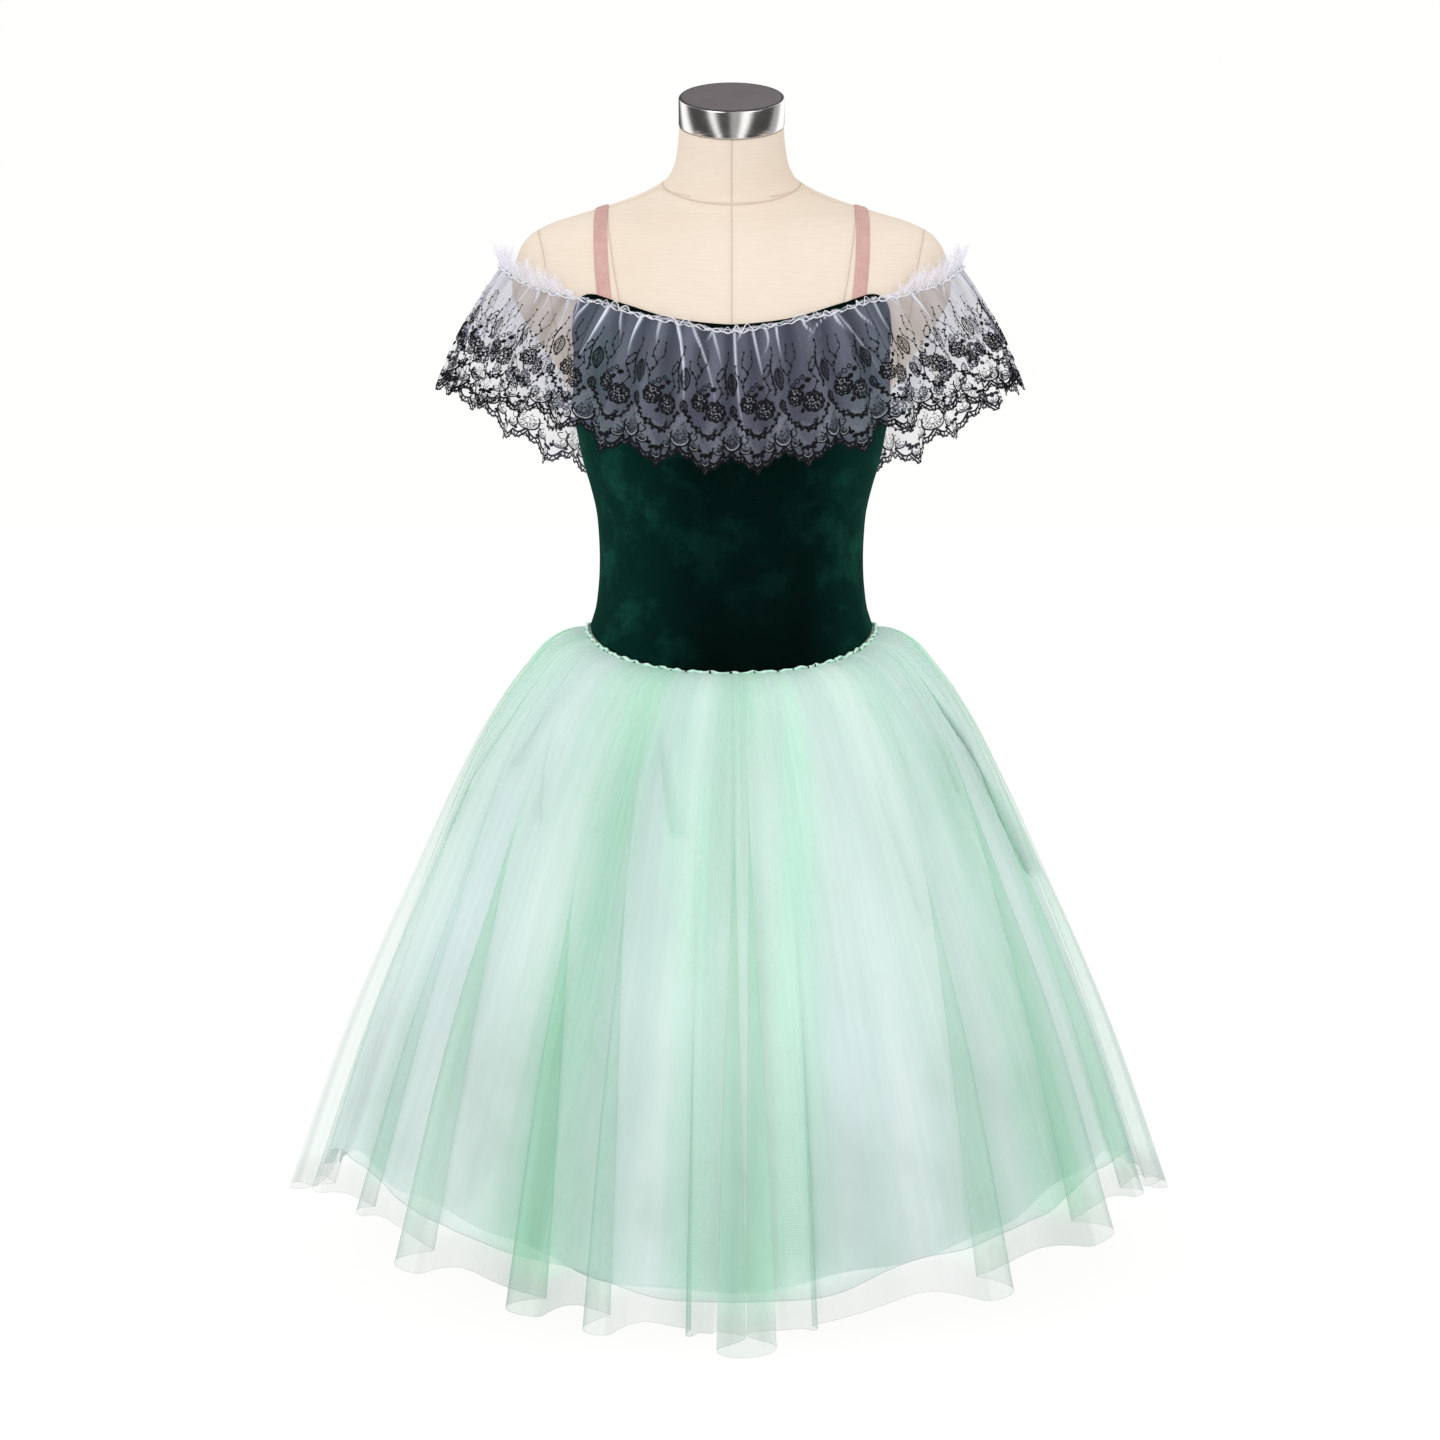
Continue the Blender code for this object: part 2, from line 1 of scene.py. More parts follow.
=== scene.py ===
"""The ballet dress on its form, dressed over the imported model.

Every soft CAD node is replaced by thin cloth: velvet panels, elastic straps, embroidered
gathered lace and three layers of net. The form gets its canvas seams and the cap its metal.
Metres, +Z up. The dress faces -Y and the wearer's left is at +X.
"""

import math
from collections import namedtuple

import bpy
import numpy as np
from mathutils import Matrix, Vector
from mathutils.bvhtree import BVHTree


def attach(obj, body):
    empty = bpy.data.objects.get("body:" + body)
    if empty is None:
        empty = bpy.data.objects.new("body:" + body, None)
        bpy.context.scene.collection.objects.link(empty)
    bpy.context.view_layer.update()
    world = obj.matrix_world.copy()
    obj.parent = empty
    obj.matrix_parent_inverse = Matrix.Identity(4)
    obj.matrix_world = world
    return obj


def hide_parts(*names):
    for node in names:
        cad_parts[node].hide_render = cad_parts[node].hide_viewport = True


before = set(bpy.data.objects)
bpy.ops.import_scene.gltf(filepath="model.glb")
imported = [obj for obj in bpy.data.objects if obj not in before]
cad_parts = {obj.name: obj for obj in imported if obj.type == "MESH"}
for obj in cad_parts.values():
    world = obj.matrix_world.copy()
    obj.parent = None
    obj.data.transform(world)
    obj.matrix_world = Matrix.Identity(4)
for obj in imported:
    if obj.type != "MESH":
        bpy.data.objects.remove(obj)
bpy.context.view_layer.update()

# Camera
CAMERA_TARGET = Vector((-0.0102, 0.0, 0.482))
CAMERA_DISTANCE = 3.0
CAMERA_RISE_DEG = 6.0
CAMERA_LENS = 83.3

# Sections of the padded form: a superellipse whose plane leans forward by tilt_deg
Section = namedtuple("Section", "z y tilt_deg half_width front back square")
FORM_SECTIONS = [
    Section(0.300, 0.000, 0.0, 0.1520, 0.0960, 0.1080, 2.20),
    Section(0.345, 0.000, 0.0, 0.1630, 0.1010, 0.1180, 2.20),
    Section(0.400, 0.000, 0.0, 0.1670, 0.1040, 0.1210, 2.20),
    Section(0.450, 0.000, 0.0, 0.1610, 0.1040, 0.1120, 2.20),
    Section(0.500, 0.000, 0.0, 0.1480, 0.1010, 0.0980, 2.20),
    Section(0.540, 0.000, 0.0, 0.1350, 0.0970, 0.0880, 2.20),
    Section(0.576, 0.000, 0.0, 0.1205, 0.0910, 0.0810, 2.15),
    Section(0.600, 0.000, 0.0, 0.1160, 0.0860, 0.0765, 2.15),
    Section(0.625, 0.000, 0.0, 0.1146, 0.0840, 0.0755, 2.15),
    Section(0.648, 0.000, 0.0, 0.1152, 0.0865, 0.0775, 2.15),
    Section(0.670, 0.000, 0.0, 0.1172, 0.0925, 0.0810, 2.20),
    Section(0.692, 0.000, 0.0, 0.1222, 0.1010, 0.0860, 2.25),
    Section(0.715, 0.000, 0.0, 0.1290, 0.1085, 0.0910, 2.30),
    Section(0.742, 0.000, 0.0, 0.1345, 0.1120, 0.0960, 2.30),
    Section(0.768, 0.000, 0.0, 0.1390, 0.1080, 0.1010, 2.25),
    Section(0.790, 0.000, 0.0, 0.1500, 0.1020, 0.1040, 2.20),
    Section(0.815, 0.000, 0.0, 0.1670, 0.0950, 0.1050, 2.20),
    Section(0.840, 0.000, 0.0, 0.1840, 0.0880, 0.1050, 2.20),
    Section(0.861, 0.000, 0.0, 0.1940, 0.0810, 0.1030, 2.20),
    Section(0.885, 0.001, 0.0, 0.1930, 0.0735, 0.0980, 2.20),
    Section(0.905, 0.002, 1.0, 0.1865, 0.0670, 0.0900, 2.20),
    Section(0.917, 0.003, 2.0, 0.1760, 0.0615, 0.0800, 2.15),
    Section(0.926, 0.004, 4.0, 0.1580, 0.0565, 0.0700, 2.10),
    Section(0.933, 0.004, 7.0, 0.1340, 0.0530, 0.0620, 2.05),
    Section(0.941, 0.004, 12.0, 0.1050, 0.0500, 0.0560, 2.00),
    Section(0.950, 0.003, 17.0, 0.0780, 0.0475, 0.0520, 2.00),
    Section(0.961, 0.001, 21.0, 0.0590, 0.0455, 0.0485, 2.00),
    Section(0.974, -0.003, 22.5, 0.0510, 0.0440, 0.0455, 2.00),
    Section(0.991, -0.008, 21.5, 0.0475, 0.0435, 0.0440, 2.00),
    Section(1.0094, -0.0139, 20.2, 0.0460, 0.0442, 0.0442, 2.00),
]
FORM_BOTTOM_Z = FORM_SECTIONS[0].z
FORM_TOP_Z = FORM_SECTIONS[-1].z
FORM_COLUMNS = 168
FORM_ROWS = 190
BUST_RISE = 0.0085
BUST_X = 0.072
BUST_Z = 0.742
BUST_SPREAD_X = 0.042
BUST_SPREAD_Z = 0.046

# Seams of the canvas cover: how far from the centre the panel and armhole seams lie at each
# height. The neck seam slants from front to back and bows up to the sides
PanelSeam = namedtuple("PanelSeam", "z aside")
PANEL_SEAM = [
    PanelSeam(0.300, 0.070),
    PanelSeam(0.600, 0.060),
    PanelSeam(0.742, 0.078),
    PanelSeam(0.830, 0.092),
    PanelSeam(0.880, 0.102),
    PanelSeam(0.940, 0.110),
    PanelSeam(1.010, 0.112),
]
ArmSeam = namedtuple("ArmSeam", "z aside")
ARM_SEAM = [
    ArmSeam(0.760, 0.136),
    ArmSeam(0.830, 0.153),
    ArmSeam(0.870, 0.160),
    ArmSeam(0.900, 0.166),
    ArmSeam(0.920, 0.171),
    ArmSeam(0.960, 0.176),
]
NECK_SEAM_Z = 0.9515
NECK_SEAM_LEAN = 0.30
NECK_SEAM_BOW = 1.9
ARM_SEAM_END_Z = 0.76
SEAM_WIDTH = 0.00055
NO_SEAM = 0.02
PUCKER_WIDTH = 0.0022
PUCKER_DEPTH = 0.00045
WRINKLE_DEPTH = 0.0003
CANVAS_COLUMN = 0.0045

# Neck cap
CAP_TILT_DEG = 20.2
CAP_HEIGHT = 0.0245
CAP_COLUMNS = 96
CAP_BOTTOM = Vector((0.0, -0.0140, 1.0101))

# Bodice: the top edge by the angle from the side seam, and the pointed waist
Edge = namedtuple("Edge", "angle_deg front_z back_z")
BODICE_TOP = [
    Edge(0.0, 0.7680, 0.7680),
    Edge(15.0, 0.7760, 0.7760),
    Edge(26.0, 0.7920, 0.7900),
    Edge(36.0, 0.8130, 0.8060),
    Edge(43.0, 0.8380, 0.8230),
    Edge(48.0, 0.8555, 0.8330),
    Edge(53.0, 0.8610, 0.8360),
    Edge(61.0, 0.8540, 0.8270),
    Edge(75.0, 0.8405, 0.8140),
    Edge(90.0, 0.8342, 0.8100),
]
WAIST_SIDE_Z = 0.567
WAIST_FRONT_DIP = 0.033
WAIST_BACK_DIP = 0.013
WAIST_DIP_POWER = 1.25
BODICE_GAP = 0.0018
VELVET = 0.0015
VELVET_ROLL = 0.0022
VELVET_SINK = 0.0010
BODICE_RADIUS = 0.115
BODICE_SEAM_ANGLE = 0.00013
BODICE_ROWS = 70
BODICE_COLUMNS = 140

# Straps
STRAP_WIDTH = 0.0120
STRAP_END_X = 0.1095
STRAP_TOP_X = 0.1150
STRAP_CENTRE_Z = 0.80
STRAP_THICKNESS = 0.0010
STRAP_LIFT = 0.0004
STRAP_START_DEG = 21.0
STRAP_END_DEG = 171.0
STRAP_STEPS = 240
STRAP_ROWS = 9

# Ruffle: the gathered line and the free edge, from the front centre to the back centre
Station = namedtuple("Station", "top_x top_y top_z free_x free_y free_z sewn")
RUFFLE_STATIONS = [
    Station(0.000, -0.0970, 0.8292, 0.000, -0.1430, 0.7050, 1.0),
    Station(0.042, -0.0960, 0.8355, 0.052, -0.1420, 0.7110, 1.0),
    Station(0.083, -0.0860, 0.8440, 0.103, -0.1360, 0.7240, 1.0),
    Station(0.120, -0.0750, 0.8545, 0.150, -0.1210, 0.7440, 1.0),
    Station(0.152, -0.0620, 0.8615, 0.191, -0.0980, 0.7570, 0.3),
    Station(0.181, -0.0450, 0.8720, 0.226, -0.0660, 0.7680, 0.0),
    Station(0.2000, -0.0200, 0.8850, 0.2490, -0.0270, 0.7770, 0.0),
    Station(0.2010, 0.0180, 0.8850, 0.2510, 0.0200, 0.7740, 0.0),
    Station(0.185, 0.0500, 0.8690, 0.235, 0.0640, 0.7580, 0.0),
    Station(0.156, 0.0750, 0.8510, 0.198, 0.0980, 0.7260, 0.0),
    Station(0.119, 0.0920, 0.8290, 0.152, 0.1220, 0.7010, 0.6),
    Station(0.079, 0.1030, 0.8130, 0.101, 0.1350, 0.6870, 1.0),
    Station(0.039, 0.1080, 0.8060, 0.050, 0.1410, 0.6810, 1.0),
    Station(0.000, 0.1090, 0.8040, 0.000, 0.1430, 0.6790, 1.0),
]
RUFFLE_LENGTHS = {
    "front": (-0.1122, 0.1122),
    "left": (0.1128, 0.3872),
    "back": (0.3878, 0.6122),
    "right": (0.6128, 0.8872),
}

# The lace: what each length measures when it is laid flat, and how many metres of net go
# round and down in all
LACE_ROUND = 1.75
LACE_DOWN = 0.13
RUFFLE_WAVES = 42
RUFFLE_PLACES = 5200
RUFFLE_COLUMNS = 1600
RUFFLE_ROWS = 44
SEWN_LIFT = 0.0041
RUFFLE_WAVE_TOP = 0.0012
RUFFLE_WAVE_FREE = 0.0095
RUFFLE_BELLY = 0.006
SCALLOPS = 31
SCALLOP_CUT = 0.142
SCALLOP_LOBES = 5
CREASE_RISE = 0.0012
CREASE_HALF_WIDTH = 0.0012
HEADING_FRONT = 0.0030
HEADING_SHOULDER = 0.0175
HEADING_COLUMNS = 2200
HEADING_ROWS = 7
HEADING_DOWN = 0.015
THREAD_STEPS = 1500

# The embroidery: how far it stands off the net, and the steps along and down the lace that
# tell which way the net faces
BLACK_RISE = 0.00055
PALE_RISE = 0.00080
STEP_ALONG = 0.0004
STEP_DOWN = 0.004

# Fold lines of the front of the lace: place at the gathers, how far they drift and bow over
# their reach, and how strong they are
Crease = namedtuple("Crease", "share drift bow reach strength")
FRONT_CREASES = [
    Crease(-0.1024, -0.026, 0.0020, 0.62, 1.0),
    Crease(-0.0913, 0.040, -0.0010, 0.28, 0.8),
    Crease(-0.0725, -0.002, -0.0016, 0.38, 1.0),
    Crease(-0.0573, 0.012, -0.0010, 0.24, 0.7),
    Crease(-0.0449, 0.017, 0.0041, 0.70, 1.2),
    Crease(-0.0321, 0.037, 0.0034, 0.62, 0.9),
    Crease(-0.0158, 0.030, 0.0008, 0.32, 0.8),
    Crease(-0.0150, -0.060, 0.0006, 0.12, 0.8),
    Crease(0.0020, 0.009, -0.0012, 0.90, 0.8),
    Crease(0.0078, -0.060, 0.0004, 0.10, 0.8),
    Crease(0.0165, 0.016, 0.0000, 0.52, 0.8),
    Crease(0.0265, -0.040, 0.0040, 0.26, 0.8),
    Crease(0.0360, 0.006, -0.0006, 0.30, 0.9),
    Crease(0.0575, 0.115, -0.0040, 0.16, 1.0),
    Crease(0.0800, -0.130, -0.0030, 0.18, 0.8),
    Crease(0.0830, 0.070, -0.0030, 0.22, 0.9),
    Crease(0.0850, 0.030, 0.0030, 0.60, 0.6),
    Crease(0.1020, 0.065, -0.0020, 0.26, 0.9),
]
OTHER_CREASES = 62

# Skirt: how far the net has moved out and down at each share of its length, then its length
# and how its gathered edge sits at the waist
Drop = namedtuple("Drop", "share out down")
SKIRT_PROFILE = [
    Drop(0.00, 0.0000, 0.0000),
    Drop(0.03, 0.0130, 0.0025),
    Drop(0.07, 0.0270, 0.0115),
    Drop(0.12, 0.0430, 0.0290),
    Drop(0.20, 0.0680, 0.0650),
    Drop(0.32, 0.0975, 0.1260),
    Drop(0.50, 0.1330, 0.2200),
    Drop(0.75, 0.1840, 0.3620),
    Drop(1.00, 0.2320, 0.5180),
]
NET_LENGTH = 0.60
SEAM_DROP = 0.0052
SEAM_LIFT = 0.0007
EDGE_DROP = 0.0004
WAIST_PUFF = 0.0012
DIRECTION_STEPS = 1440
WAIST_STEPS = 2400
WAIST_STITCHES = 58
STITCH_LIFT = 0.0082

# How much higher the net hangs at its hem in each direction from the front, either side
Rise = namedtuple("Rise", "degrees high")
HEM_RISE = [
    Rise(0.0, 0.004),
    Rise(10.0, 0.010),
    Rise(20.0, 0.022),
    Rise(32.0, 0.034),
    Rise(46.0, 0.050),
    Rise(60.0, 0.057),
    Rise(72.0, 0.048),
    Rise(82.0, 0.020),
    Rise(90.0, 0.004),
    Rise(102.0, 0.006),
    Rise(122.0, 0.022),
    Rise(142.0, 0.028),
    Rise(162.0, 0.014),
    Rise(180.0, 0.004),
]

# Folds of the overskirt's hem, from the front centre towards the wearer's left: how far the
# folded edge laps over (width) and stands out (height), how far the net takes to rise to it
# (lead), which way it points (side, 0 for a tube), and how much lower it hangs
Fold = namedtuple("Fold", "angle_deg width height lead side longer")
FOLDS = [
    Fold(1.0, 0.046, 0.024, 0.000, 0, 0.013),
    Fold(7.8, 0.004, 0.005, 0.014, 1, 0.002),
    Fold(30.9, 0.022, 0.024, 0.075, 1, 0.015),
    Fold(49.6, 0.026, 0.024, 0.065, 1, 0.012),
    Fold(61.5, 0.017, 0.018, 0.035, 1, 0.006),
    Fold(74.0, 0.018, 0.018, 0.040, 1, 0.003),
    Fold(95.0, 0.028, 0.024, 0.060, 1, 0.000),
    Fold(116.0, 0.026, 0.022, 0.060, -1, 0.006),
    Fold(138.0, 0.028, 0.024, 0.060, -1, 0.010),
    Fold(158.0, 0.018, 0.018, 0.050, -1, 0.006),
    Fold(178.0, 0.040, 0.024, 0.000, 0, 0.010),
    Fold(199.0, 0.022, 0.020, 0.060, 1, 0.008),
    Fold(221.0, 0.028, 0.024, 0.070, 1, 0.010),
    Fold(243.0, 0.026, 0.022, 0.060, 1, 0.006),
    Fold(268.0, 0.030, 0.024, 0.060, -1, 0.000),
    Fold(295.0, 0.018, 0.018, 0.045, -1, 0.006),
    Fold(308.8, 0.010, 0.013, 0.026, -1, 0.006),
    Fold(320.0, 0.021, 0.024, 0.050, -1, 0.015),
    Fold(336.7, 0.026, 0.023, 0.038, -1, 0.014),
    Fold(345.7, 0.018, 0.018, 0.040, -1, 0.012),
    Fold(356.0, 0.004, 0.006, 0.012, -1, 0.003),
]

# The outline of a lapped fold: along in widths, or in leads where it is negative, and out in
# heights, from where the net starts to rise to where it goes on beneath. It turns back at its
# tip and again at its foot
LAP_OUTLINE = [
    (-1.00, 0.00), (-0.72, 0.05), (-0.45, 0.30), (-0.22, 0.66), (-0.06, 0.92),
    (0.40, 1.03), (0.80, 1.04), (0.97, 0.98), (1.00, 0.90), (0.93, 0.80),
    (0.60, 0.52), (0.25, 0.24), (0.06, 0.08), (0.03, 0.00), (0.12, -0.03), (0.50, 0.00),
]
LAP_TIP = 8
LAP_FOOT = 13

# A tube of net: how far its loop turns round, how dense it looks, and how wide it is at the
# waist
TUBE_TURN_DEG = 120.8
TUBE_PLIES = 0.7
TUBE_WAIST = 0.55
FOLD_STEPS = 28
GAP_STEP = 0.0047

# The overskirt: its rows, how far it stands off at the waist and the hem, and how far apart its
# gathers and waves are
OVER_ROWS = 72
OVER_LIFT_TOP = 0.0041
OVER_LIFT_HEM = 0.018
GATHER_SPACING = 0.0235
SLOW_SPACING = 0.074
RIPPLE_SPACING = 0.083

# The inner layers: the cut of each, and how far each stands off and waves
INNER_ROWS = 56
INNER_COLUMNS = 480
INNER_GATHERS = 96
INNER_CUT_RADIUS = 0.40
Layer = namedtuple("Layer", "name length lift_top lift_hem wave_hem waves seed")
INNER_LAYERS = [
    Layer("skirt_under", 0.933, 0.0000, 0.004, 0.0055, 12, 3.1),
    Layer("skirt_middle", 0.945, 0.0017, 0.013, 0.0060, 16, 7.7),
]

RNG = np.random.default_rng(7)


# Curves and tables

def smooth_step(low, high, value):
    """From 0 at low to 1 at high, with soft ends."""
    share = np.clip((value - low) / (high - low), 0.0, 1.0)
    return share * share * (3.0 - 2.0 * share)


def swell(rise_from, rise_to, fall_from, fall_to, value):
    """Rises from 0 to 1 and falls back to 0."""
    return smooth_step(rise_from, rise_to, value) * (1.0 - smooth_step(fall_from, fall_to, value))


def sine(turns, share, phase=0.0):
    """A wave of so many turns over shares from 0 to 1."""
    return np.sin(math.tau * turns * share + phase)


def hermite(before, start, end, after, share):
    """A smooth value between start and end, led by the values on both sides."""
    out = 0.5 * (end - before)
    into = 0.5 * (after - start)
    a = 2.0 * start - 2.0 * end + out + into
    b = -3.0 * start + 3.0 * end - 2.0 * out - into
    return ((a * share + b) * share + out) * share + start


def look_up(table, keys):
    """A table's other columns at the given values of its first one, from smooth curves."""
    rows = np.array(table, dtype=float)
    known = rows[:, 0]
    keys = np.asarray(keys, dtype=float)
    index = np.clip(np.searchsorted(known, keys, side="right") - 1, 0, len(known) - 2)
    share = np.clip((keys - known[index]) / (known[index + 1] - known[index]), 0.0, 1.0)
    last = len(rows) - 1
    near = [rows[np.clip(index + step, 0, last)] for step in (-1, 0, 1, 2)]
    found = hermite(*near, share[..., None])
    return np.moveaxis(found, -1, 0)[1:]


def curve(points, steps=8):
    """A smooth line through a few points."""
    points = np.array(points, dtype=float)
    last = len(points) - 1
    share = np.linspace(0.0, 1.0, steps, endpoint=False)[:, None]
    parts = []
    for index in range(last):
        near = [points[min(max(index + step, 0), last)] for step in (-1, 0, 1, 2)]
        parts.append(hermite(*near, share))
    return np.vstack(parts + [points[-1:]])


def unit(vectors):
    """Vectors with their lengths brought to 1."""
    length = np.linalg.norm(vectors, axis=-1, keepdims=True)
    return vectors / np.maximum(length, 1e-9)


def level(vectors):
    """The level direction of vectors."""
    flat = vectors.copy()
    flat[..., 2] = 0.0
    return unit(flat)


# Shapes shared with the CAD part

def form_point(z, angle):
    """Points of the padded form: angle 0 is at +X, a quarter turn is the front centre."""
    z, angle = np.broadcast_arrays(z, angle)
    y, tilt_deg, half_width, front, back, square = look_up(FORM_SECTIONS, z)
    across, along = np.cos(angle), np.sin(angle)
    x = half_width * np.sign(across) * np.abs(across) ** (2.0 / square)
    reach = np.where(along > 0, front, back) * np.sign(along) * np.abs(along) ** (2.0 / square)
    rise = np.exp(-(((np.abs(x) - BUST_X) / BUST_SPREAD_X) ** 2))
    rise = rise * np.exp(-(((z - BUST_Z) / BUST_SPREAD_Z) ** 2))
    reach = reach + BUST_RISE * rise * np.maximum(along, 0.0)
    tilt = np.radians(tilt_deg)
    return np.stack([x, y - reach * np.cos(tilt), z - reach * np.sin(tilt)], axis=-1)


def form_normal(z, angle):
    """The direction straight out of the form's surface."""
    up = form_point(z + 0.002, angle) - form_point(z - 0.002, angle)
    round_it = form_point(z, angle + 0.02) - form_point(z, angle - 0.02)
    return unit(np.cross(up, round_it))


def off_form(z, angle, distance):
    """Points at a distance off the form's surface."""
    distance = np.asarray(distance, dtype=float)
    return form_point(z, angle) + form_normal(z, angle) * distance[..., None]


def form_reach(z, direction):
    """How far the form reaches from its axis at a height, in a level direction."""
    _, _, half_width, front, back, square = look_up(FORM_SECTIONS, z)
    depth = np.where(np.sin(direction) > 0, front, back)
    shape = np.abs(np.cos(direction) / half_width) ** square
    shape = shape + np.abs(np.sin(direction) / depth) ** square
    return shape ** (-1.0 / square)


def bodice_top_z(angle):
    """The height of the bodice's top edge."""
    degrees = np.degrees(angle) % 180.0
    front_z, back_z = look_up(BODICE_TOP, np.minimum(degrees, 180.0 - degrees))
    return np.where(np.sin(angle) >= 0, front_z, back_z)


def waist_z(angle):
    """The height of the pointed waist seam."""
    dip = np.where(np.sin(angle) > 0, WAIST_FRONT_DIP, WAIST_BACK_DIP)
    return WAIST_SIDE_Z - dip * np.abs(np.sin(angle)) ** WAIST_DIP_POWER


# Meshes

CORD_SIDES = 6


def add_object(name, data):
    item = bpy.data.objects.new(name, data)
    bpy.context.scene.collection.objects.link(item)
    return item


def make_object(name, mesh, look, node=None):
    """A piece of the dress: it rides on the one body, and may stand for a CAD node."""
    item = add_object(name, mesh)
    mesh.materials.append(look)
    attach(item, "root")
    if node:
        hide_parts(node)
    return item


def new_mesh(name, points, faces):
    """A mesh from arrays of points and of their numbers."""
    mesh = bpy.data.meshes.new(name)
    mesh.from_pydata(points.tolist(), [], faces.tolist())
    return mesh


def grid_mesh(name, points, closed=False, flat=None, **values):
    """A sheet through rows and columns of points. flat gives its cut, in metres, for the
    material's threads, and values are numbers for each point that a material reads."""
    rows, columns = points.shape[:2]
    row, column = np.mgrid[0:rows - 1, 0:columns if closed else columns - 1]
    beside = (column + 1) % columns
    corners = [
        row * columns + column,
        (row + 1) * columns + column,
        (row + 1) * columns + beside,
        row * columns + beside,
    ]
    mesh = new_mesh(name, points.reshape(-1, 3), np.stack(corners, axis=-1).reshape(-1, 4))
    for key, value in values.items():
        store = mesh.attributes.new(key, "FLOAT", "POINT")
        full = np.broadcast_to(value, (rows, columns)).astype(np.float32)
        store.data.foreach_set("value", full.ravel())
    if flat is not None:
        along, down = (np.broadcast_to(part, (rows, columns + 1)) for part in flat)
        places = [(row, column), (row + 1, column), (row + 1, column + 1), (row, column + 1)]
        uv = np.stack([np.stack([along[at], down[at]], axis=-1) for at in places], axis=2)
        layer = mesh.uv_layers.new(name="cut")
        layer.data.foreach_set("uv", uv.astype(np.float32).ravel())
    mesh.shade_smooth()
    return mesh


def flat_lines(along, down):
    """The cut's coordinates of a grid, with one more column for where a tube closes."""
    along = np.asarray(along, dtype=float)
    extra = along[-1:] + (along[-1:] - along[-2:-1])
    return np.concatenate([along, extra])[None, :], np.asarray(down, dtype=float)[:, None]


def cord_mesh(name, line, radius):
    """A round cord along a closed line of points."""
    ahead = unit(np.roll(line, -1, axis=0) - np.roll(line, 1, axis=0))
    aside = unit(np.cross(ahead, (0.0, 0.0, 1.0)))
    up = np.cross(aside, ahead)
    turn = np.linspace(0.0, math.tau, CORD_SIDES, endpoint=False)[None, :, None]
    ring = np.cos(turn) * aside[:, None, :] + np.sin(turn) * up[:, None, :]
    points = line[:, None, :] + radius[:, None, None] * ring
    return grid_mesh(name, np.concatenate([points, points[:1]]), closed=True)


# Materials

class Nodes:
    """Short calls for the nodes of a material or of the world, ending in one shader."""

    def __init__(self, tree, shader):
        self.tree = tree
        self.shader = tree.nodes[shader]

    def put(self, socket, value):
        """Sets or links a socket: the shader's, by name, or another node's."""
        if isinstance(socket, str):
            socket = self.shader.inputs[socket]
        if isinstance(value, bpy.types.NodeSocket):
            self.tree.links.new(value, socket)
        else:
            socket.default_value = value

    def node(self, kind, inputs=None, **settings):
        made = self.tree.nodes.new("ShaderNode" + kind)
        for key, value in settings.items():
            setattr(made, key, value)
        for key, value in (inputs or {}).items():
            self.put(made.inputs[key], value)
        return made

    def math(self, operation, *values):
        made = self.node("Math", operation=operation)
        for socket, value in zip(made.inputs, values):
            self.put(socket, value)
        return made.outputs[0]

    def add(self, first, second):
        return self.math("ADD", first, second)

    def mul(self, first, second):
        return self.math("MULTIPLY", first, second)

    def mul_add(self, first, second, third):
        return self.math("MULTIPLY_ADD", first, second, third)


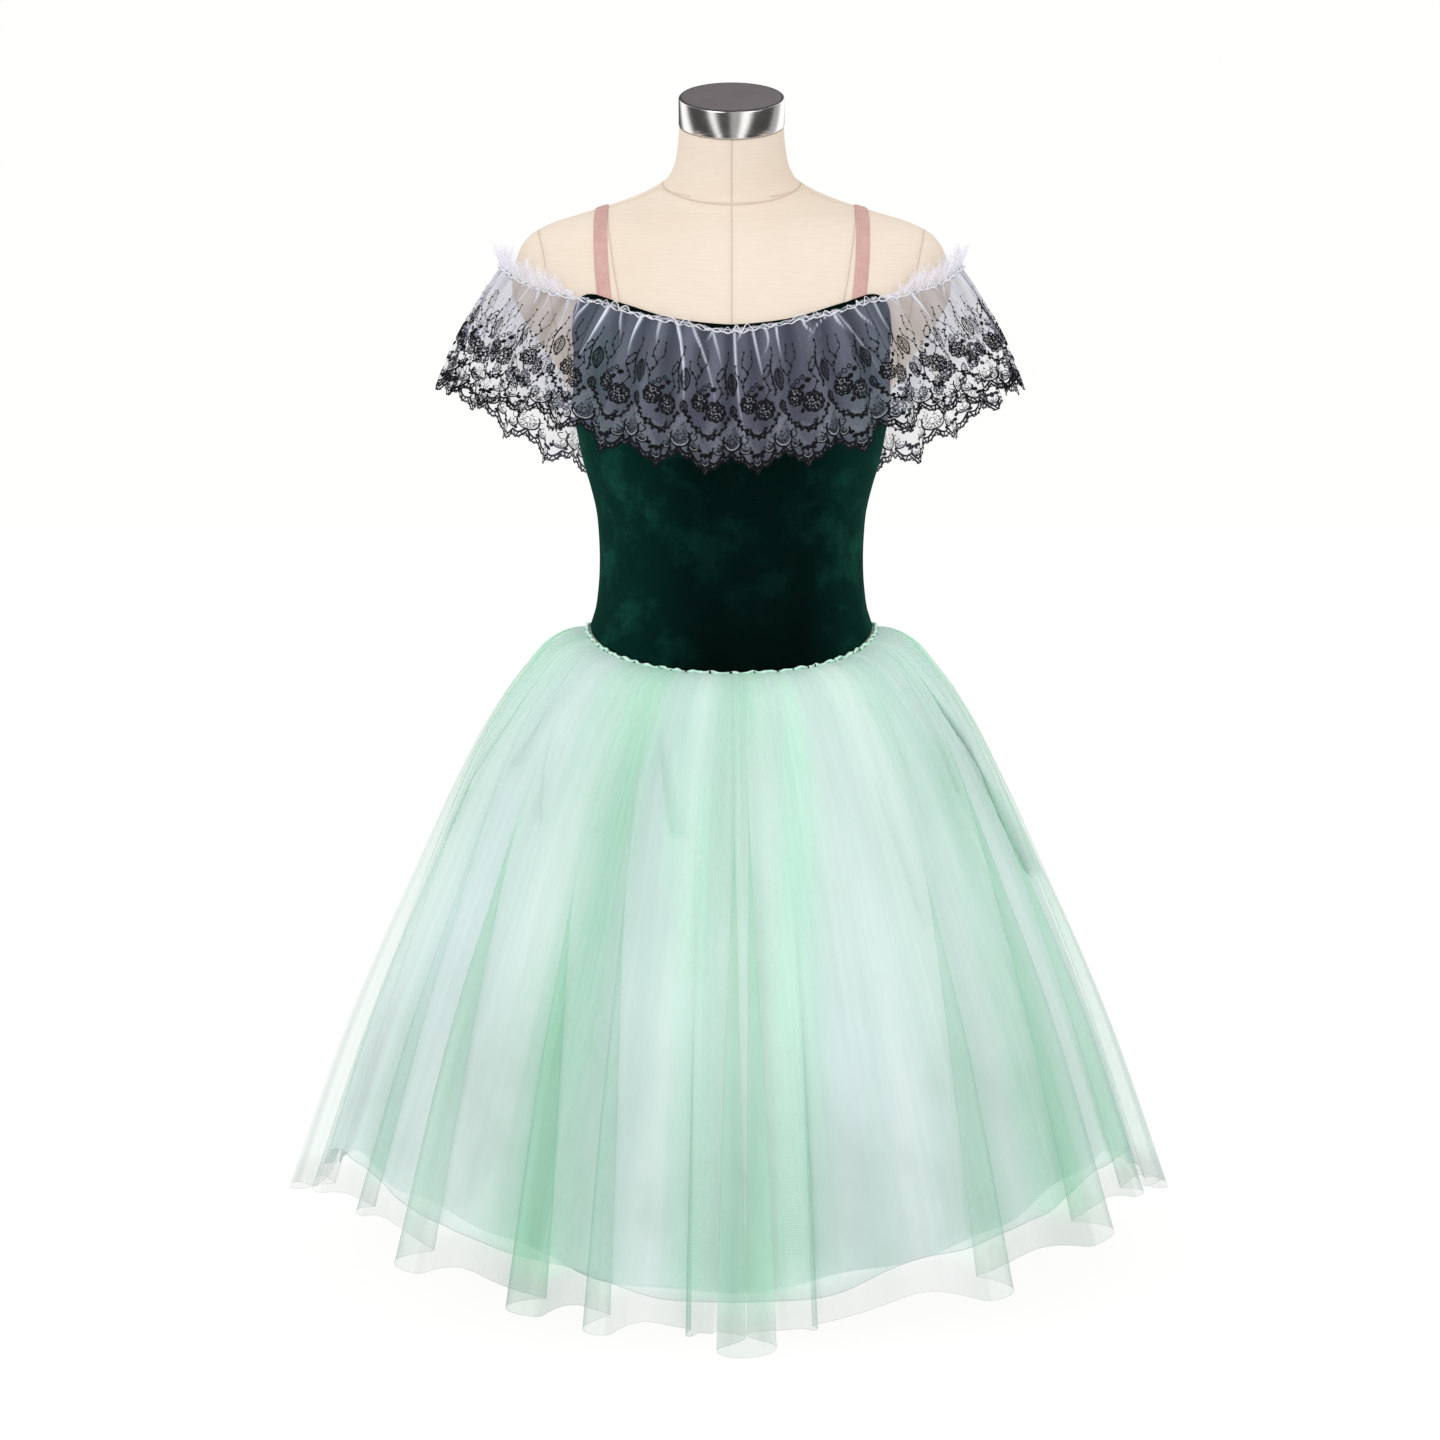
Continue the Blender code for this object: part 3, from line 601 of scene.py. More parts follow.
class Look(Nodes):
    """A material, and the patterns that its colour and relief are made of."""

    def __init__(self, name, **sockets):
        self.material = bpy.data.materials.new(name)
        self.material.use_nodes = True
        super().__init__(self.material.node_tree, "Principled BSDF")
        for key, value in sockets.items():
            self.put(key.replace("_", " "), value)

    def place(self):
        """The place in metres."""
        return self.node("TexCoord").outputs["Object"]

    def fall(self, spread, run):
        """Streaks that fall from the waist: spread tells them apart, run breaks them up."""
        place = self.place()
        flat = self.node("VectorMath", {0: place, 1: (1, 1, 0)}, operation="MULTIPLY")
        ahead = self.node("VectorMath", {0: flat.outputs[0]}, operation="NORMALIZE")
        wide = self.scaled(ahead.outputs[0], (spread, spread, 1.0))
        high = self.scaled(place, (0.0, 0.0, run))
        return self.node("VectorMath", {0: wide, 1: high}, operation="ADD").outputs[0]

    def cut(self):
        """The place on the flat cut, in metres."""
        return self.node("UVMap", uv_map="cut").outputs["UV"]

    def value(self, name):
        """A number that the mesh holds for each of its points."""
        return self.node("Attribute", attribute_name=name).outputs["Fac"]

    def scaled(self, vector, scale):
        return self.node("Mapping", {"Vector": vector, "Scale": scale}).outputs[0]

    def noise(self, vector, scale, detail=2.0, roughness=0.5):
        inputs = {"Vector": vector, "Scale": scale, "Detail": detail, "Roughness": roughness}
        return self.node("TexNoise", inputs).outputs["Fac"]

    def range(self, value, low, high, start=0.0, end=1.0):
        """Goes softly from start to end while the value goes from low to high."""
        inputs = {0: value, 1: low, 2: high, 3: start, 4: end}
        return self.node("MapRange", inputs, interpolation_type="SMOOTHSTEP").outputs[0]

    def mix(self, share, first, second):
        made = self.node("Mix", data_type="RGBA")
        for index, value in ((0, share), (6, first), (7, second)):
            self.put(made.inputs[index], value)
        return made.outputs[2]

    def bump(self, height, distance, strength=1.0):
        inputs = {"Height": height, "Distance": distance, "Strength": strength}
        self.put("Normal", self.node("Bump", inputs).outputs[0])

    def threads(self, vector, spacing):
        """Two crossed sets of threads, from 0 between them to 1 on top."""
        parts = self.node("SeparateXYZ", {0: vector}).outputs
        turns = math.tau / spacing
        waves = [self.math("SINE", self.mul(part, turns)) for part in parts[:2]]
        both = self.mul(waves[0], waves[1])
        return self.mul_add(both, 0.5, 0.5)

    def net(self, vector, cell):
        """The six-sided holes of bobbin net: 1 on a thread, 0 in a hole."""
        inputs = {"Vector": vector, "Scale": 1.0 / cell, "Randomness": 0.25}
        made = self.node(
            "TexVoronoi", inputs, feature="DISTANCE_TO_EDGE", voronoi_dimensions="2D"
        )
        return self.range(made.outputs["Distance"], 0.06, 0.16, 1.0, 0.0)


def canvas_look():
    """Unbleached canvas with its seams, the pucker beside them and painted shade in that pucker.
    """
    look = Look("canvas", Roughness=0.9, Specular_IOR_Level=0.15)
    place = look.place()
    cloud = look.noise(place, 9.0, 4.0)
    slub = look.noise(look.scaled(place, (60.0, 60.0, 900.0)), 1.0, 3.0, 0.6)
    weave = look.threads(look.cut(), 0.0011)
    pale, deep = (0.766, 0.670, 0.576, 1), (0.720, 0.614, 0.512, 1)
    share = look.mul_add(slub, 0.5, look.mul(cloud, 0.5))
    cloth = look.mix(look.range(share, 0.35, 0.68), pale, deep)
    cloth = look.mix(look.mul(weave, 0.10), cloth, (0.62, 0.50, 0.39, 1))
    lines = [look.math("ABSOLUTE", look.value(name)) for name in SEAM_NAMES]
    near = lines[0]
    for line in lines[1:]:
        near = look.math("MINIMUM", near, line)
    stitched = look.range(near, SEAM_WIDTH * 0.5, SEAM_WIDTH * 1.7, 1.0, 0.0)
    # The pucker beside each seam: a dip in the bump, and painted shade that darkens the canvas
    # within 5 mm of the seam.
    pucker = look.range(near, 0.0, 0.005, 1.0, 0.0)
    tone = look.mix(look.mul(pucker, 0.16), cloth, (0.66, 0.52, 0.40, 1))
    tone = look.mix(look.mul(stitched, 0.42), tone, (0.42, 0.30, 0.20, 1))
    look.put("Base Color", tone)
    height = look.mul_add(weave, 0.10, look.mul(pucker, -1.0))
    height = look.add(height, look.mul(stitched, -0.6))
    look.bump(height, 0.0006, 0.7)
    return look.material


def steel_look():
    look = Look("brushed_steel", Metallic=1.0, Anisotropic=0.5)
    streak = look.noise(look.scaled(look.place(), (3.0, 3.0, 900.0)), 1.0, 3.0, 0.6)
    look.put("Base Color", look.mix(streak, (0.70, 0.68, 0.67, 1), (0.84, 0.82, 0.81, 1)))
    look.put("Roughness", look.range(streak, 0.2, 0.8, 0.13, 0.22))
    look.bump(streak, 0.00008)
    return look.material


def cap_top_look():
    look = Look("cap_top", Specular_IOR_Level=0.25)
    grain = look.noise(look.place(), 700.0, 3.0)
    cloud = look.noise(look.place(), 30.0, 3.0)
    look.put("Base Color", look.mix(cloud, (0.118, 0.103, 0.108, 1), (0.148, 0.130, 0.136, 1)))
    look.put("Roughness", look.range(grain, 0.3, 0.7, 0.55, 0.75))
    look.bump(grain, 0.0001, 0.5)
    return look.material


# A near-black ring between the steel ring and the lid: painted shade for the gap there.
def gap_shade_rim_look():
    look = Look("cap_gap_shade", Roughness=0.5)
    grain = look.noise(look.place(), 300.0)
    look.put("Base Color", look.mix(grain, (0.030, 0.026, 0.028, 1), (0.050, 0.044, 0.046, 1)))
    return look.material


def velvet_look():
    """Crushed dark green velvet, with painted light: lighter towards the sides, most on the left,
    and higher up, and a painted sheen on its crush there.
    """
    look = Look("green_velvet", Roughness=0.85, Specular_IOR_Level=0.01)
    place = look.place()
    crush = look.noise(place, 24.0, 6.0, 0.68)
    patch = look.noise(place, 8.0, 3.0)
    pile = look.noise(place, 2400.0, 2.0)
    across = look.node("SeparateXYZ", {0: place}).outputs
    # Painted light: lighter to the left, at the right edge and higher up, as if lit from the
    # upper left, with random patches added.
    left = look.range(across[0], -0.115, -0.020, 0.72, 0.0)
    right = look.range(across[0], 0.060, 0.118, 0.0, 0.62)
    high = look.range(across[2], 0.560, 0.70)
    lit = look.mul_add(high, 0.13, look.add(left, right))
    lit = look.add(lit, look.mul(look.range(patch, 0.36, 0.66), 0.10))
    tone = look.mix(lit, (0.0005, 0.0034, 0.0029, 1), (0.0026, 0.0270, 0.0215, 1))
    # Painted sheen: the crush lightens only where the painted light falls.
    share = look.mul(look.range(crush, 0.45, 0.72), lit)
    tone = look.mix(share, tone, (0.0080, 0.0680, 0.0480, 1))
    tone = look.mix(look.mul(pile, 0.35), tone, (0.0006, 0.0034, 0.0028, 1))
    # Painted shade: near-black along the panel's top edge.
    tone = look.mix(look.value("edge"), tone, (0.0010, 0.0030, 0.0028, 1))
    look.put("Base Color", tone)
    look.put("Sheen Weight", 0.13)
    look.put("Sheen Tint", (0.05, 0.36, 0.26, 1))
    look.put("Sheen Roughness", 0.42)
    look.bump(look.mul_add(pile, 0.5, crush), 0.0005, 0.5)
    return look.material


def elastic_look():
    """Pink woven elastic with ribs across and cords along."""
    look = Look("strap_elastic", Roughness=0.62, Specular_IOR_Level=0.25)
    parts = look.node("SeparateXYZ", {0: look.cut()}).outputs
    ribs = look.math("SINE", look.mul(parts[1], math.tau / 0.0011))
    cords = look.math("SINE", look.mul(parts[0], math.tau / 0.0016))
    shade = look.mul_add(ribs, 0.30, look.mul(cords, 0.22))
    shade = look.add(shade, look.noise(look.place(), 90.0, 3.0))
    tone = look.mix(look.range(shade, 0.0, 1.1), (0.50, 0.285, 0.255, 1), (0.66, 0.43, 0.39, 1))
    look.put("Base Color", tone)
    look.bump(shade, 0.0003, 0.6)
    return look.material


def lace_net_look():
    """Grey net: paler on creases, with painted light on the wave ridges and painted shade in the
    valleys, closer in ribbons.
    """
    look = Look("lace_net", Roughness=0.8, Specular_IOR_Level=0.1)
    crease, ridge, dense = look.value("crease"), look.value("ridge"), look.value("dense")
    valley_shade, clear = look.value("valley_shade"), look.value("clear")
    threads = look.net(look.cut(), 0.0011)
    cloud = look.noise(look.scaled(look.cut(), (40.0, 9.0, 1.0)), 1.0, 3.0)
    grain = look.noise(look.scaled(look.cut(), (420.0, 420.0, 1.0)), 1.0, 3.0, 0.7)
    # Painted light on the wave ridges, mixed with random cloud.
    light = look.mul_add(ridge, 0.5, look.mul(cloud, 0.6))
    tone = look.mix(look.range(light, 0.2, 0.8), (0.21, 0.22, 0.31, 1), (0.37, 0.38, 0.51, 1))
    tone = look.mix(look.mul(dense, 0.7), tone, (0.37, 0.40, 0.47, 1))
    # Painted shade in the valleys between the waves.
    tone = look.mix(look.mul(valley_shade, 0.8), tone, (0.08, 0.08, 0.115, 1))
    look.put("Base Color", look.mix(crease, tone, (0.82, 0.85, 0.96, 1)))
    body = look.range(cloud, 0.3, 0.75, 0.19, 0.26)
    body = look.mul_add(threads, 0.05, body)
    body = look.mul_add(ridge, 0.05, body)
    close = look.mul(dense, look.range(grain, 0.35, 0.65, 0.04, 0.16))
    body = look.add(body, close)
    body = look.mul_add(valley_shade, 0.20, body)
    body = look.mul(body, look.mul_add(clear, -0.62, 1.0))
    look.put("Alpha", look.mul_add(crease, 0.6, body))
    return look.material


def frill_look():
    """Crumpled white net that thins out towards its torn edge."""
    look = Look("white_net_edge", Roughness=0.9, Specular_IOR_Level=0.1)
    height = look.value("height")
    cloud = look.noise(look.scaled(look.cut(), (260.0, 60.0, 1.0)), 1.0, 3.0, 0.65)
    look.put("Base Color", look.mix(cloud, (0.70, 0.69, 0.80, 1), (0.90, 0.89, 0.95, 1)))
    body = look.range(cloud, 0.30, 0.70, 0.22, 0.60)
    fade = look.range(height, 0.45, 1.0, 1.0, 0.35)
    look.put("Alpha", look.mul(body, fade))
    return look.material


def white_thread_look():
    look = Look("white_gathering_thread", Roughness=0.7, Specular_IOR_Level=0.2)
    twist = look.noise(look.place(), 1300.0, 2.0)
    look.put("Base Color", look.mix(twist, (0.62, 0.64, 0.70, 1), (0.86, 0.87, 0.92, 1)))
    look.bump(twist, 0.0003)
    return look.material


def black_thread_look():
    look = Look("black_embroidery", Roughness=0.7, Specular_IOR_Level=0.0)
    twist = look.noise(look.place(), 1500.0, 2.0)
    dull, sheen = (0.0030, 0.0030, 0.0036, 1), (0.0190, 0.0180, 0.0200, 1)
    look.put("Base Color", look.mix(look.range(twist, 0.3, 0.75), dull, sheen))
    look.bump(twist, 0.0003)
    return look.material


def pale_thread_look():
    look = Look("pale_cords", Roughness=0.8, Specular_IOR_Level=0.1)
    twist = look.noise(look.place(), 1200.0, 2.0)
    look.put("Base Color", look.mix(twist, (0.36, 0.38, 0.44, 1), (0.60, 0.62, 0.68, 1)))
    look.put("Alpha", look.range(twist, 0.3, 0.7, 0.30, 0.60))
    return look.material


def over_net_look():
    """Mint net: streaks, bands, folded plies, tuck shade, painted light below the waist, painted
    shade in its lowest strip, and the hem.
    """
    look = Look("mint_net", Roughness=0.9, Specular_IOR_Level=0.05)
    turn, thick, hem = look.value("turn"), look.value("thick"), look.value("hem")
    green, bright, shade = look.value("green"), look.value("bright"), look.value("shade")
    ply, low = look.value("ply"), look.value("low")
    wide = look.range(look.noise(look.fall(5.0, 1.1), 1.0, 3.0, 0.55), 0.32, 0.68)
    fine = look.range(look.noise(look.fall(26.0, 1.5), 1.0, 3.0, 0.6), 0.32, 0.68)
    patch = look.range(look.noise(look.fall(3.2, 5.0), 1.0, 4.0, 0.6), 0.34, 0.66)
    tone = look.mix(wide, (0.60, 0.70, 0.70, 1), (0.46, 0.70, 0.60, 1))
    greens = look.mix(fine, (0.22, 0.54, 0.34, 1), (0.33, 0.68, 0.46, 1))
    tone = look.mix(look.mul(green, 0.9), tone, greens)
    tone = look.mix(look.mul(bright, 0.75), tone, (0.50, 0.97, 0.69, 1))
    # Painted shade: the net greys in its lowest strip, less where it lies in plies.
    painted_hem_shade = look.mul(low, look.mul_add(ply, -0.25, 0.85))
    tone = look.mix(painted_hem_shade, tone, (0.40, 0.44, 0.42, 1))
    tone = look.mix(look.mul(turn, 0.75), tone, (0.20, 0.36, 0.30, 1))
    tone = look.mix(look.mul(shade, 0.9), tone, (0.13, 0.17, 0.16, 1))
    look.put("Base Color", look.mix(hem, tone, (0.32, 0.36, 0.35, 1)))
    body = look.mul_add(wide, 0.05, 0.11)
    body = look.mul_add(fine, 0.030, body)
    body = look.mul_add(look.net(look.cut(), 0.0012), 0.02, body)
    thick = look.mul(thick, look.mul_add(patch, 0.7, 0.65))
    body = look.mul(body, look.add(thick, 1.0))
    # The lowest strip also thickens with the painted shade, less where the net lies in plies.
    single = look.mul_add(ply, -0.25, 1.0)
    body = look.mul_add(single, look.mul(low, 0.075), body)
    body = look.mul(body, look.mul_add(ply, -0.32, 1.0))
    body = look.mul_add(turn, 0.16, body)
    body = look.mul_add(shade, 0.70, body)
    look.put("Alpha", look.mul_add(hem, 0.20, body))
    return look.material


def inner_net_look(name, body_low, body_high):
    """White net with cloudy patches and painted shade that greys it towards its hem."""
    look = Look(name, Roughness=0.95, Specular_IOR_Level=0.05)
    hem, low = look.value("hem"), look.value("low")
    wide = look.noise(look.fall(4.0, 1.2), 1.0, 3.0, 0.55)
    fine = look.noise(look.fall(22.0, 1.6), 1.0, 3.0, 0.6)
    cloud = look.range(look.noise(look.fall(2.6, 6.0), 1.0, 4.0, 0.6), 0.42, 0.70)
    share = look.mul_add(fine, 0.22, look.mul(wide, 0.78))
    tone = look.mix(look.range(share, 0.36, 0.64), (0.77, 0.86, 0.88, 1), (0.90, 0.98, 0.97, 1))
    # Random cloudy patches, and painted shade that greys the net towards its hem.
    cloud_and_hem_shade = look.mul(cloud, look.mul_add(low, 0.40, 0.12))
    cloud_and_hem_shade = look.mul_add(low, 0.38, cloud_and_hem_shade)
    tone = look.mix(cloud_and_hem_shade, tone, (0.58, 0.68, 0.66, 1))
    look.put("Base Color", look.mix(hem, tone, (0.40, 0.43, 0.44, 1)))
    body = look.range(share, 0.3, 0.7, body_low, body_high)
    # The net thickens towards its hem with the painted shade.
    body = look.mul_add(low, 0.18, body)
    body = look.mul_add(look.net(look.cut(), 0.0012), 0.03, body)
    look.put("Alpha", look.mul_add(hem, 0.30, body))
    return look.material


def gathered_edge_look():
    look = Look("mint_gathered_edge", Roughness=0.9, Specular_IOR_Level=0.1)
    cloud = look.noise(look.place(), 260.0, 3.0)
    look.put("Base Color", look.mix(cloud, (0.50, 0.81, 0.67, 1), (0.68, 0.92, 0.81, 1)))
    look.bump(cloud, 0.0004)
    return look.material


# The form and its stand

SEAM_NAMES = ("centre_seam", "panel_seam", "arm_seam", "neck_seam", "side_seam")


def build_form(look):
    """The padded torso and neck, with signed distances to its seams for the material."""
    z = np.linspace(FORM_BOTTOM_Z, FORM_TOP_Z, FORM_ROWS)[::-1, None]
    angle = -np.linspace(0.0, math.tau, FORM_COLUMNS, endpoint=False)[None, :]
    z, angle = np.broadcast_arrays(z, angle)
    points = form_point(z, angle)
    aside = np.abs(points[..., 0])
    panel = look_up(PANEL_SEAM, points[..., 2])[0]
    arm = look_up(ARM_SEAM, points[..., 2])[0]
    high = points[..., 2] > ARM_SEAM_END_Z
    neck_z = NECK_SEAM_Z + NECK_SEAM_LEAN * points[..., 1] + NECK_SEAM_BOW * aside ** 2
    on_body = points[..., 2] < neck_z
    seams = {
        "centre_seam": points[..., 0],
        "panel_seam": np.where(on_body, aside - panel, NO_SEAM),
        "arm_seam": np.where(high & on_body, aside - arm, NO_SEAM),
        "neck_seam": points[..., 2] - neck_z,
        "side_seam": np.where(on_body, points[..., 1], NO_SEAM),
    }
    pucker = np.zeros_like(z)
    for distance in seams.values():
        pucker = np.maximum(pucker, np.exp(-((distance / PUCKER_WIDTH) ** 2)))
    wrinkle = np.exp(-(((points[..., 2] - neck_z - 0.006) / 0.006) ** 2))
    ripple = np.sin(points[..., 0] * 210.0 + points[..., 2] * 900.0)
    sunk = PUCKER_DEPTH * pucker + WRINKLE_DEPTH * wrinkle * (0.5 + 0.5 * ripple)
    points = points - form_normal(z, angle) * sunk[..., None]
    cut = (np.arange(FORM_COLUMNS + 1)[None, :] * CANVAS_COLUMN, z[:, :1])
    mesh = grid_mesh("canvas_form", points, closed=True, flat=cut, **seams)
    return make_object("canvas_form", mesh, look, "dress_form")


def cap_frame(height):
    """The middle of the cap at a height above its bottom, and the way to its back."""
    tilt = math.radians(CAP_TILT_DEG)
    up = Vector((0, -math.sin(tilt), math.cos(tilt)))
    return np.array(CAP_BOTTOM + up * height), np.array((0, math.cos(tilt), math.sin(tilt)))


def lathe(name, profile):
    """A turned shape round the cap's axis from (radius, height) pairs, top first."""
    turn = np.linspace(0.0, math.tau, CAP_COLUMNS, endpoint=False)[:, None]
    rows = []
    for radius, height in profile:
        middle, back = cap_frame(height)
        ring = np.cos(turn) * np.array((1.0, 0.0, 0.0)) - np.sin(turn) * back
        rows.append(middle + radius * ring)
    return grid_mesh(name, np.array(rows)[:, ::-1], closed=True)


def build_cap(steel, top, rim):
    """The steel ring, its dark lid, and a near-black rim between them that paints the shade in
    the gap.
    """
    high = CAP_HEIGHT
    wall = [
        (0.0440, high - 0.0006),
        (0.0456, high + 0.0001),
        (0.0463, high - 0.0003),
        (0.0466, high - 0.0012),
        (0.0466, 0.0010),
        (0.0462, 0.0002),
        (0.0448, 0.0000),
    ]
    make_object("cap_ring", lathe("cap_ring", wall), steel, "neck_cap_ring")
    lid = [(0.0001, high + 0.0013), (0.0200, high + 0.0014), (0.0430, high + 0.0011)]
    lid += [(0.0441, high + 0.0007), (0.0444, high - 0.0002)]
    make_object("cap_lid", lathe("cap_lid", lid), top, "neck_cap_disc")
    # The rim: painted shade in the gap between ring and lid.
    edge = [(0.0443, high + 0.0004), (0.0450, high + 0.0009), (0.0456, high + 0.0004)]
    make_object("cap_gap_shade", lathe("cap_gap_shade", edge), rim)


# The bodice and straps

def build_bodice(name, start, velvet):
    """One velvet panel, half way round from the side seam, with its edges rolled in."""
    share = np.linspace(0.0, 1.0, BODICE_ROWS)
    share = np.concatenate([[0.0, 0.004, 0.010], share[2:-2], [0.990, 0.996, 1.0]])[:, None]
    ends = math.pi - BODICE_SEAM_ANGLE, BODICE_SEAM_ANGLE
    angle = start + np.linspace(*ends, BODICE_COLUMNS)[None, :]
    top, waist = bodice_top_z(angle), waist_z(angle)
    z = top + (waist - top) * share
    from_edge = np.minimum(np.abs(top - z), np.abs(z - waist))
    side = np.minimum(angle - start, start + math.pi - angle) * BODICE_RADIUS
    from_edge = np.minimum(from_edge, side + 0.0004)
    roll = np.sqrt(np.clip(1.0 - (1.0 - from_edge / VELVET_ROLL) ** 2, 0.0, 1.0))
    roll = np.where(from_edge > VELVET_ROLL, 1.0, roll)
    points = off_form(z, angle, BODICE_GAP - VELVET_SINK + (VELVET + VELVET_SINK) * roll)
    cut = flat_lines(angle[0] * BODICE_RADIUS, z[:, 0])
    # edge: painted shade along the top 3 to 9 mm of the panel.
    edge = 1.0 - smooth_step(0.003, 0.009, top - z)
    mesh = grid_mesh(name, points, flat=cut, edge=edge)
    return make_object(name + "_velvet", mesh, velvet, name)


def strap_line(aside, surface):
    """Points and normals of the form along a strap, at a distance from its middle."""
    points, normals = [], []
    for degrees in np.linspace(STRAP_START_DEG, STRAP_END_DEG, STRAP_STEPS):
        turn = math.radians(degrees)
        over = float(smooth_step(0.5, 1.0, math.sin(turn)))
        x = STRAP_END_X + (STRAP_TOP_X - STRAP_END_X) * over + aside
        ray = Vector((0.0, -math.cos(turn), math.sin(turn)))
        centre = Vector((x, 0.0, STRAP_CENTRE_Z))
        point, normal, _, _ = surface.ray_cast(centre + ray, -ray)
        points.append(point)
        normals.append(normal)
    return np.array(points), np.array(normals)


def build_strap(name, side, look, surface):
    """A woven band over the shoulder, tucked under the bodice's edge at both ends."""
    profile = np.linspace(-1.0, 1.0, STRAP_ROWS)
    rows = []
    for place in profile:
        points, normals = strap_line(place * STRAP_WIDTH / 2, surface)
        crown = STRAP_THICKNESS * (1.0 - abs(place) ** 6)
        rows.append(points + normals * (STRAP_LIFT + crown))
    grid = np.array(rows) * np.array((side, 1.0, 1.0))
    if side > 0:
        grid = grid[::-1]
    width = (profile + 1.0) * STRAP_WIDTH / 2
    length = np.append(np.linspace(0.0, 0.30, STRAP_STEPS), 0.301)
    mesh = grid_mesh(name, grid, flat=(width[:, None], length[None, :]))
    return make_object(name + "_band", mesh, look, name)


# The ruffle

def ruffle_tables():
    """The gathered line, the free edge and the sewn share at even steps round the ruffle."""
    share = np.arange(RUFFLE_PLACES) / RUFFLE_PLACES
    half = np.array(RUFFLE_STATIONS, dtype=float)
    mirror = half[-2:0:-1] * np.array([-1, 1, 1, -1, 1, 1, 1])
    table = np.vstack([half, mirror])
    place = share * len(table)
    index = np.floor(place).astype(int)
    near = [table[(index + step) % len(table)] for step in (-1, 0, 1, 2)]
    row = hermite(*near, (place - index)[:, None])
    sewn = np.clip(row[:, 6], 0.0, 1.0)
    direction = np.arctan2(-row[:, 1], row[:, 0])
    reach = np.hypot(row[:, 0], row[:, 1])
    reach = reach + (form_reach(row[:, 2], direction) + SEWN_LIFT - reach) * sewn
    top = np.stack([np.cos(direction) * reach, -np.sin(direction) * reach, row[:, 2]], axis=-1)
    return top, row[:, 3:6], sewn


RUFFLE_TOP, RUFFLE_FREE, RUFFLE_SEWN = ruffle_tables()


def round_value(table, share):
    """A closed table's value at a share of the way round."""
    count = len(table)
    place = (share % 1.0) * count
    index = np.floor(place).astype(int) % count
    blend = place - np.floor(place)
    if table.ndim > 1:
        blend = blend[..., None]
    return table[index] * (1.0 - blend) + table[(index + 1) % count] * blend


def other_creases():
    """Fold lines of the sleeves and back, spread at random."""
    made = []
    for number in range(OTHER_CREASES):
        place = 0.115 + 0.77 * (number + 0.5) / OTHER_CREASES + RNG.uniform(-0.004, 0.004)
        reach = RNG.choice([0.2, 0.3, 0.42, 0.65], p=[0.3, 0.35, 0.25, 0.1])
        drift, bow = RNG.uniform(-0.03, 0.03), RNG.uniform(-0.003, 0.003)
        made.append(Crease(place, drift, bow, reach, RNG.uniform(0.4, 0.9)))
    return made


CREASES = FRONT_CREASES + other_creases()


def crease_at(share, down):
    """How near a point of the lace is to a fold line, from 0 to 1."""
    total = np.zeros(np.broadcast(share, down).shape)
    for crease in CREASES:
        run = np.minimum(down / crease.reach, 1.0)
        line = crease.share + crease.drift * down + 1.5 * crease.bow * np.sin(math.pi * run)
        away = (share - line + 0.5) % 1.0 - 0.5
        half = CREASE_HALF_WIDTH * (1.0 - 0.72 * run)
        fade = 1.0 - smooth_step(0.15, 1.0, run)
        near = np.exp(-((away / half) ** 2)) * fade * crease.strength
        total = np.maximum(total, near)
    return np.minimum(total, 1.0)


def ruffle_wave(share):
    """The lace's irregular waves, from 0 to 1, and their size."""
    warp = 0.0042 * sine(5, share, 0.7) + 0.0022 * sine(13, share)
    turn = math.tau * RUFFLE_WAVES * (share + warp)
    wave = 0.5 - 0.5 * np.cos(turn)
    size = 1.0 + 0.22 * sine(9, share, 2.0) + 0.12 * sine(23, share)
    return wave, size


def ruffle_surface(share, down):
    """Points of the lace at shares of the way round and of the way down."""
    share, down = np.broadcast_arrays(share, down)
    top = round_value(RUFFLE_TOP, share)
    free = round_value(RUFFLE_FREE, share)
    outward = level(free)
    wave, size = ruffle_wave(share)
    deep = RUFFLE_WAVE_TOP + (RUFFLE_WAVE_FREE - RUFFLE_WAVE_TOP) * down
    fine = 0.0006 * sine(131, share) * (1.0 - smooth_step(0.1, 0.5, down))
    out = RUFFLE_BELLY * np.sin(math.pi * np.minimum(down, 1.0)) + deep * wave * size + fine
    out = out + CREASE_RISE * crease_at(share, down)
    return top + (free - top) * down[..., None] + outward * out[..., None]


def edge_down(share):
    """Where the free edge is, as a share of the way down: pointed scallops with lobes."""
    phase = (share * SCALLOPS) % 1.0
    point = 1.0 - np.abs(2.0 * phase - 1.0)
    lobe = np.abs(np.sin(SCALLOP_LOBES * math.pi * phase))
    return 1.0 - SCALLOP_CUT * (1.0 - 0.80 * point ** 1.2 - 0.20 * lobe)


def build_lace(name, start, end, look):
    """One length of gathered net, with the values that its material shows."""
    columns = round((end - start) * RUFFLE_COLUMNS)
    share = np.linspace(end, start, columns)[None, :]
    row = np.linspace(0.0, 1.0, RUFFLE_ROWS)[:, None]
    down = row * edge_down(share)
    points = ruffle_surface(share, down)
    cut = flat_lines(share[0] * LACE_ROUND, row[:, 0] * LACE_DOWN)
    wave = ruffle_wave(share)[0]
    uneven = 0.6 + 0.4 * sine(17, share, 1.0) * sine(29, share)
    loose = 1.0 - round_value(RUFFLE_SEWN, share)
    values = {
        "crease": crease_at(share, down),
        # Painted light on the wave ridges and painted shade in the valleys between them.
        "ridge": wave * (1.0 - 0.5 * row),
        "valley_shade": (1.0 - wave) ** 2 * uneven * (1.0 - 0.45 * row),
        "dense": ribbons(share, down),
        "clear": loose * smooth_step(0.42, 0.68, down),
    }
    mesh = grid_mesh(f"lace_{name}", points, flat=cut, **values)
    return make_object(f"lace_{name}", mesh, look, f"ruffle_{name}")


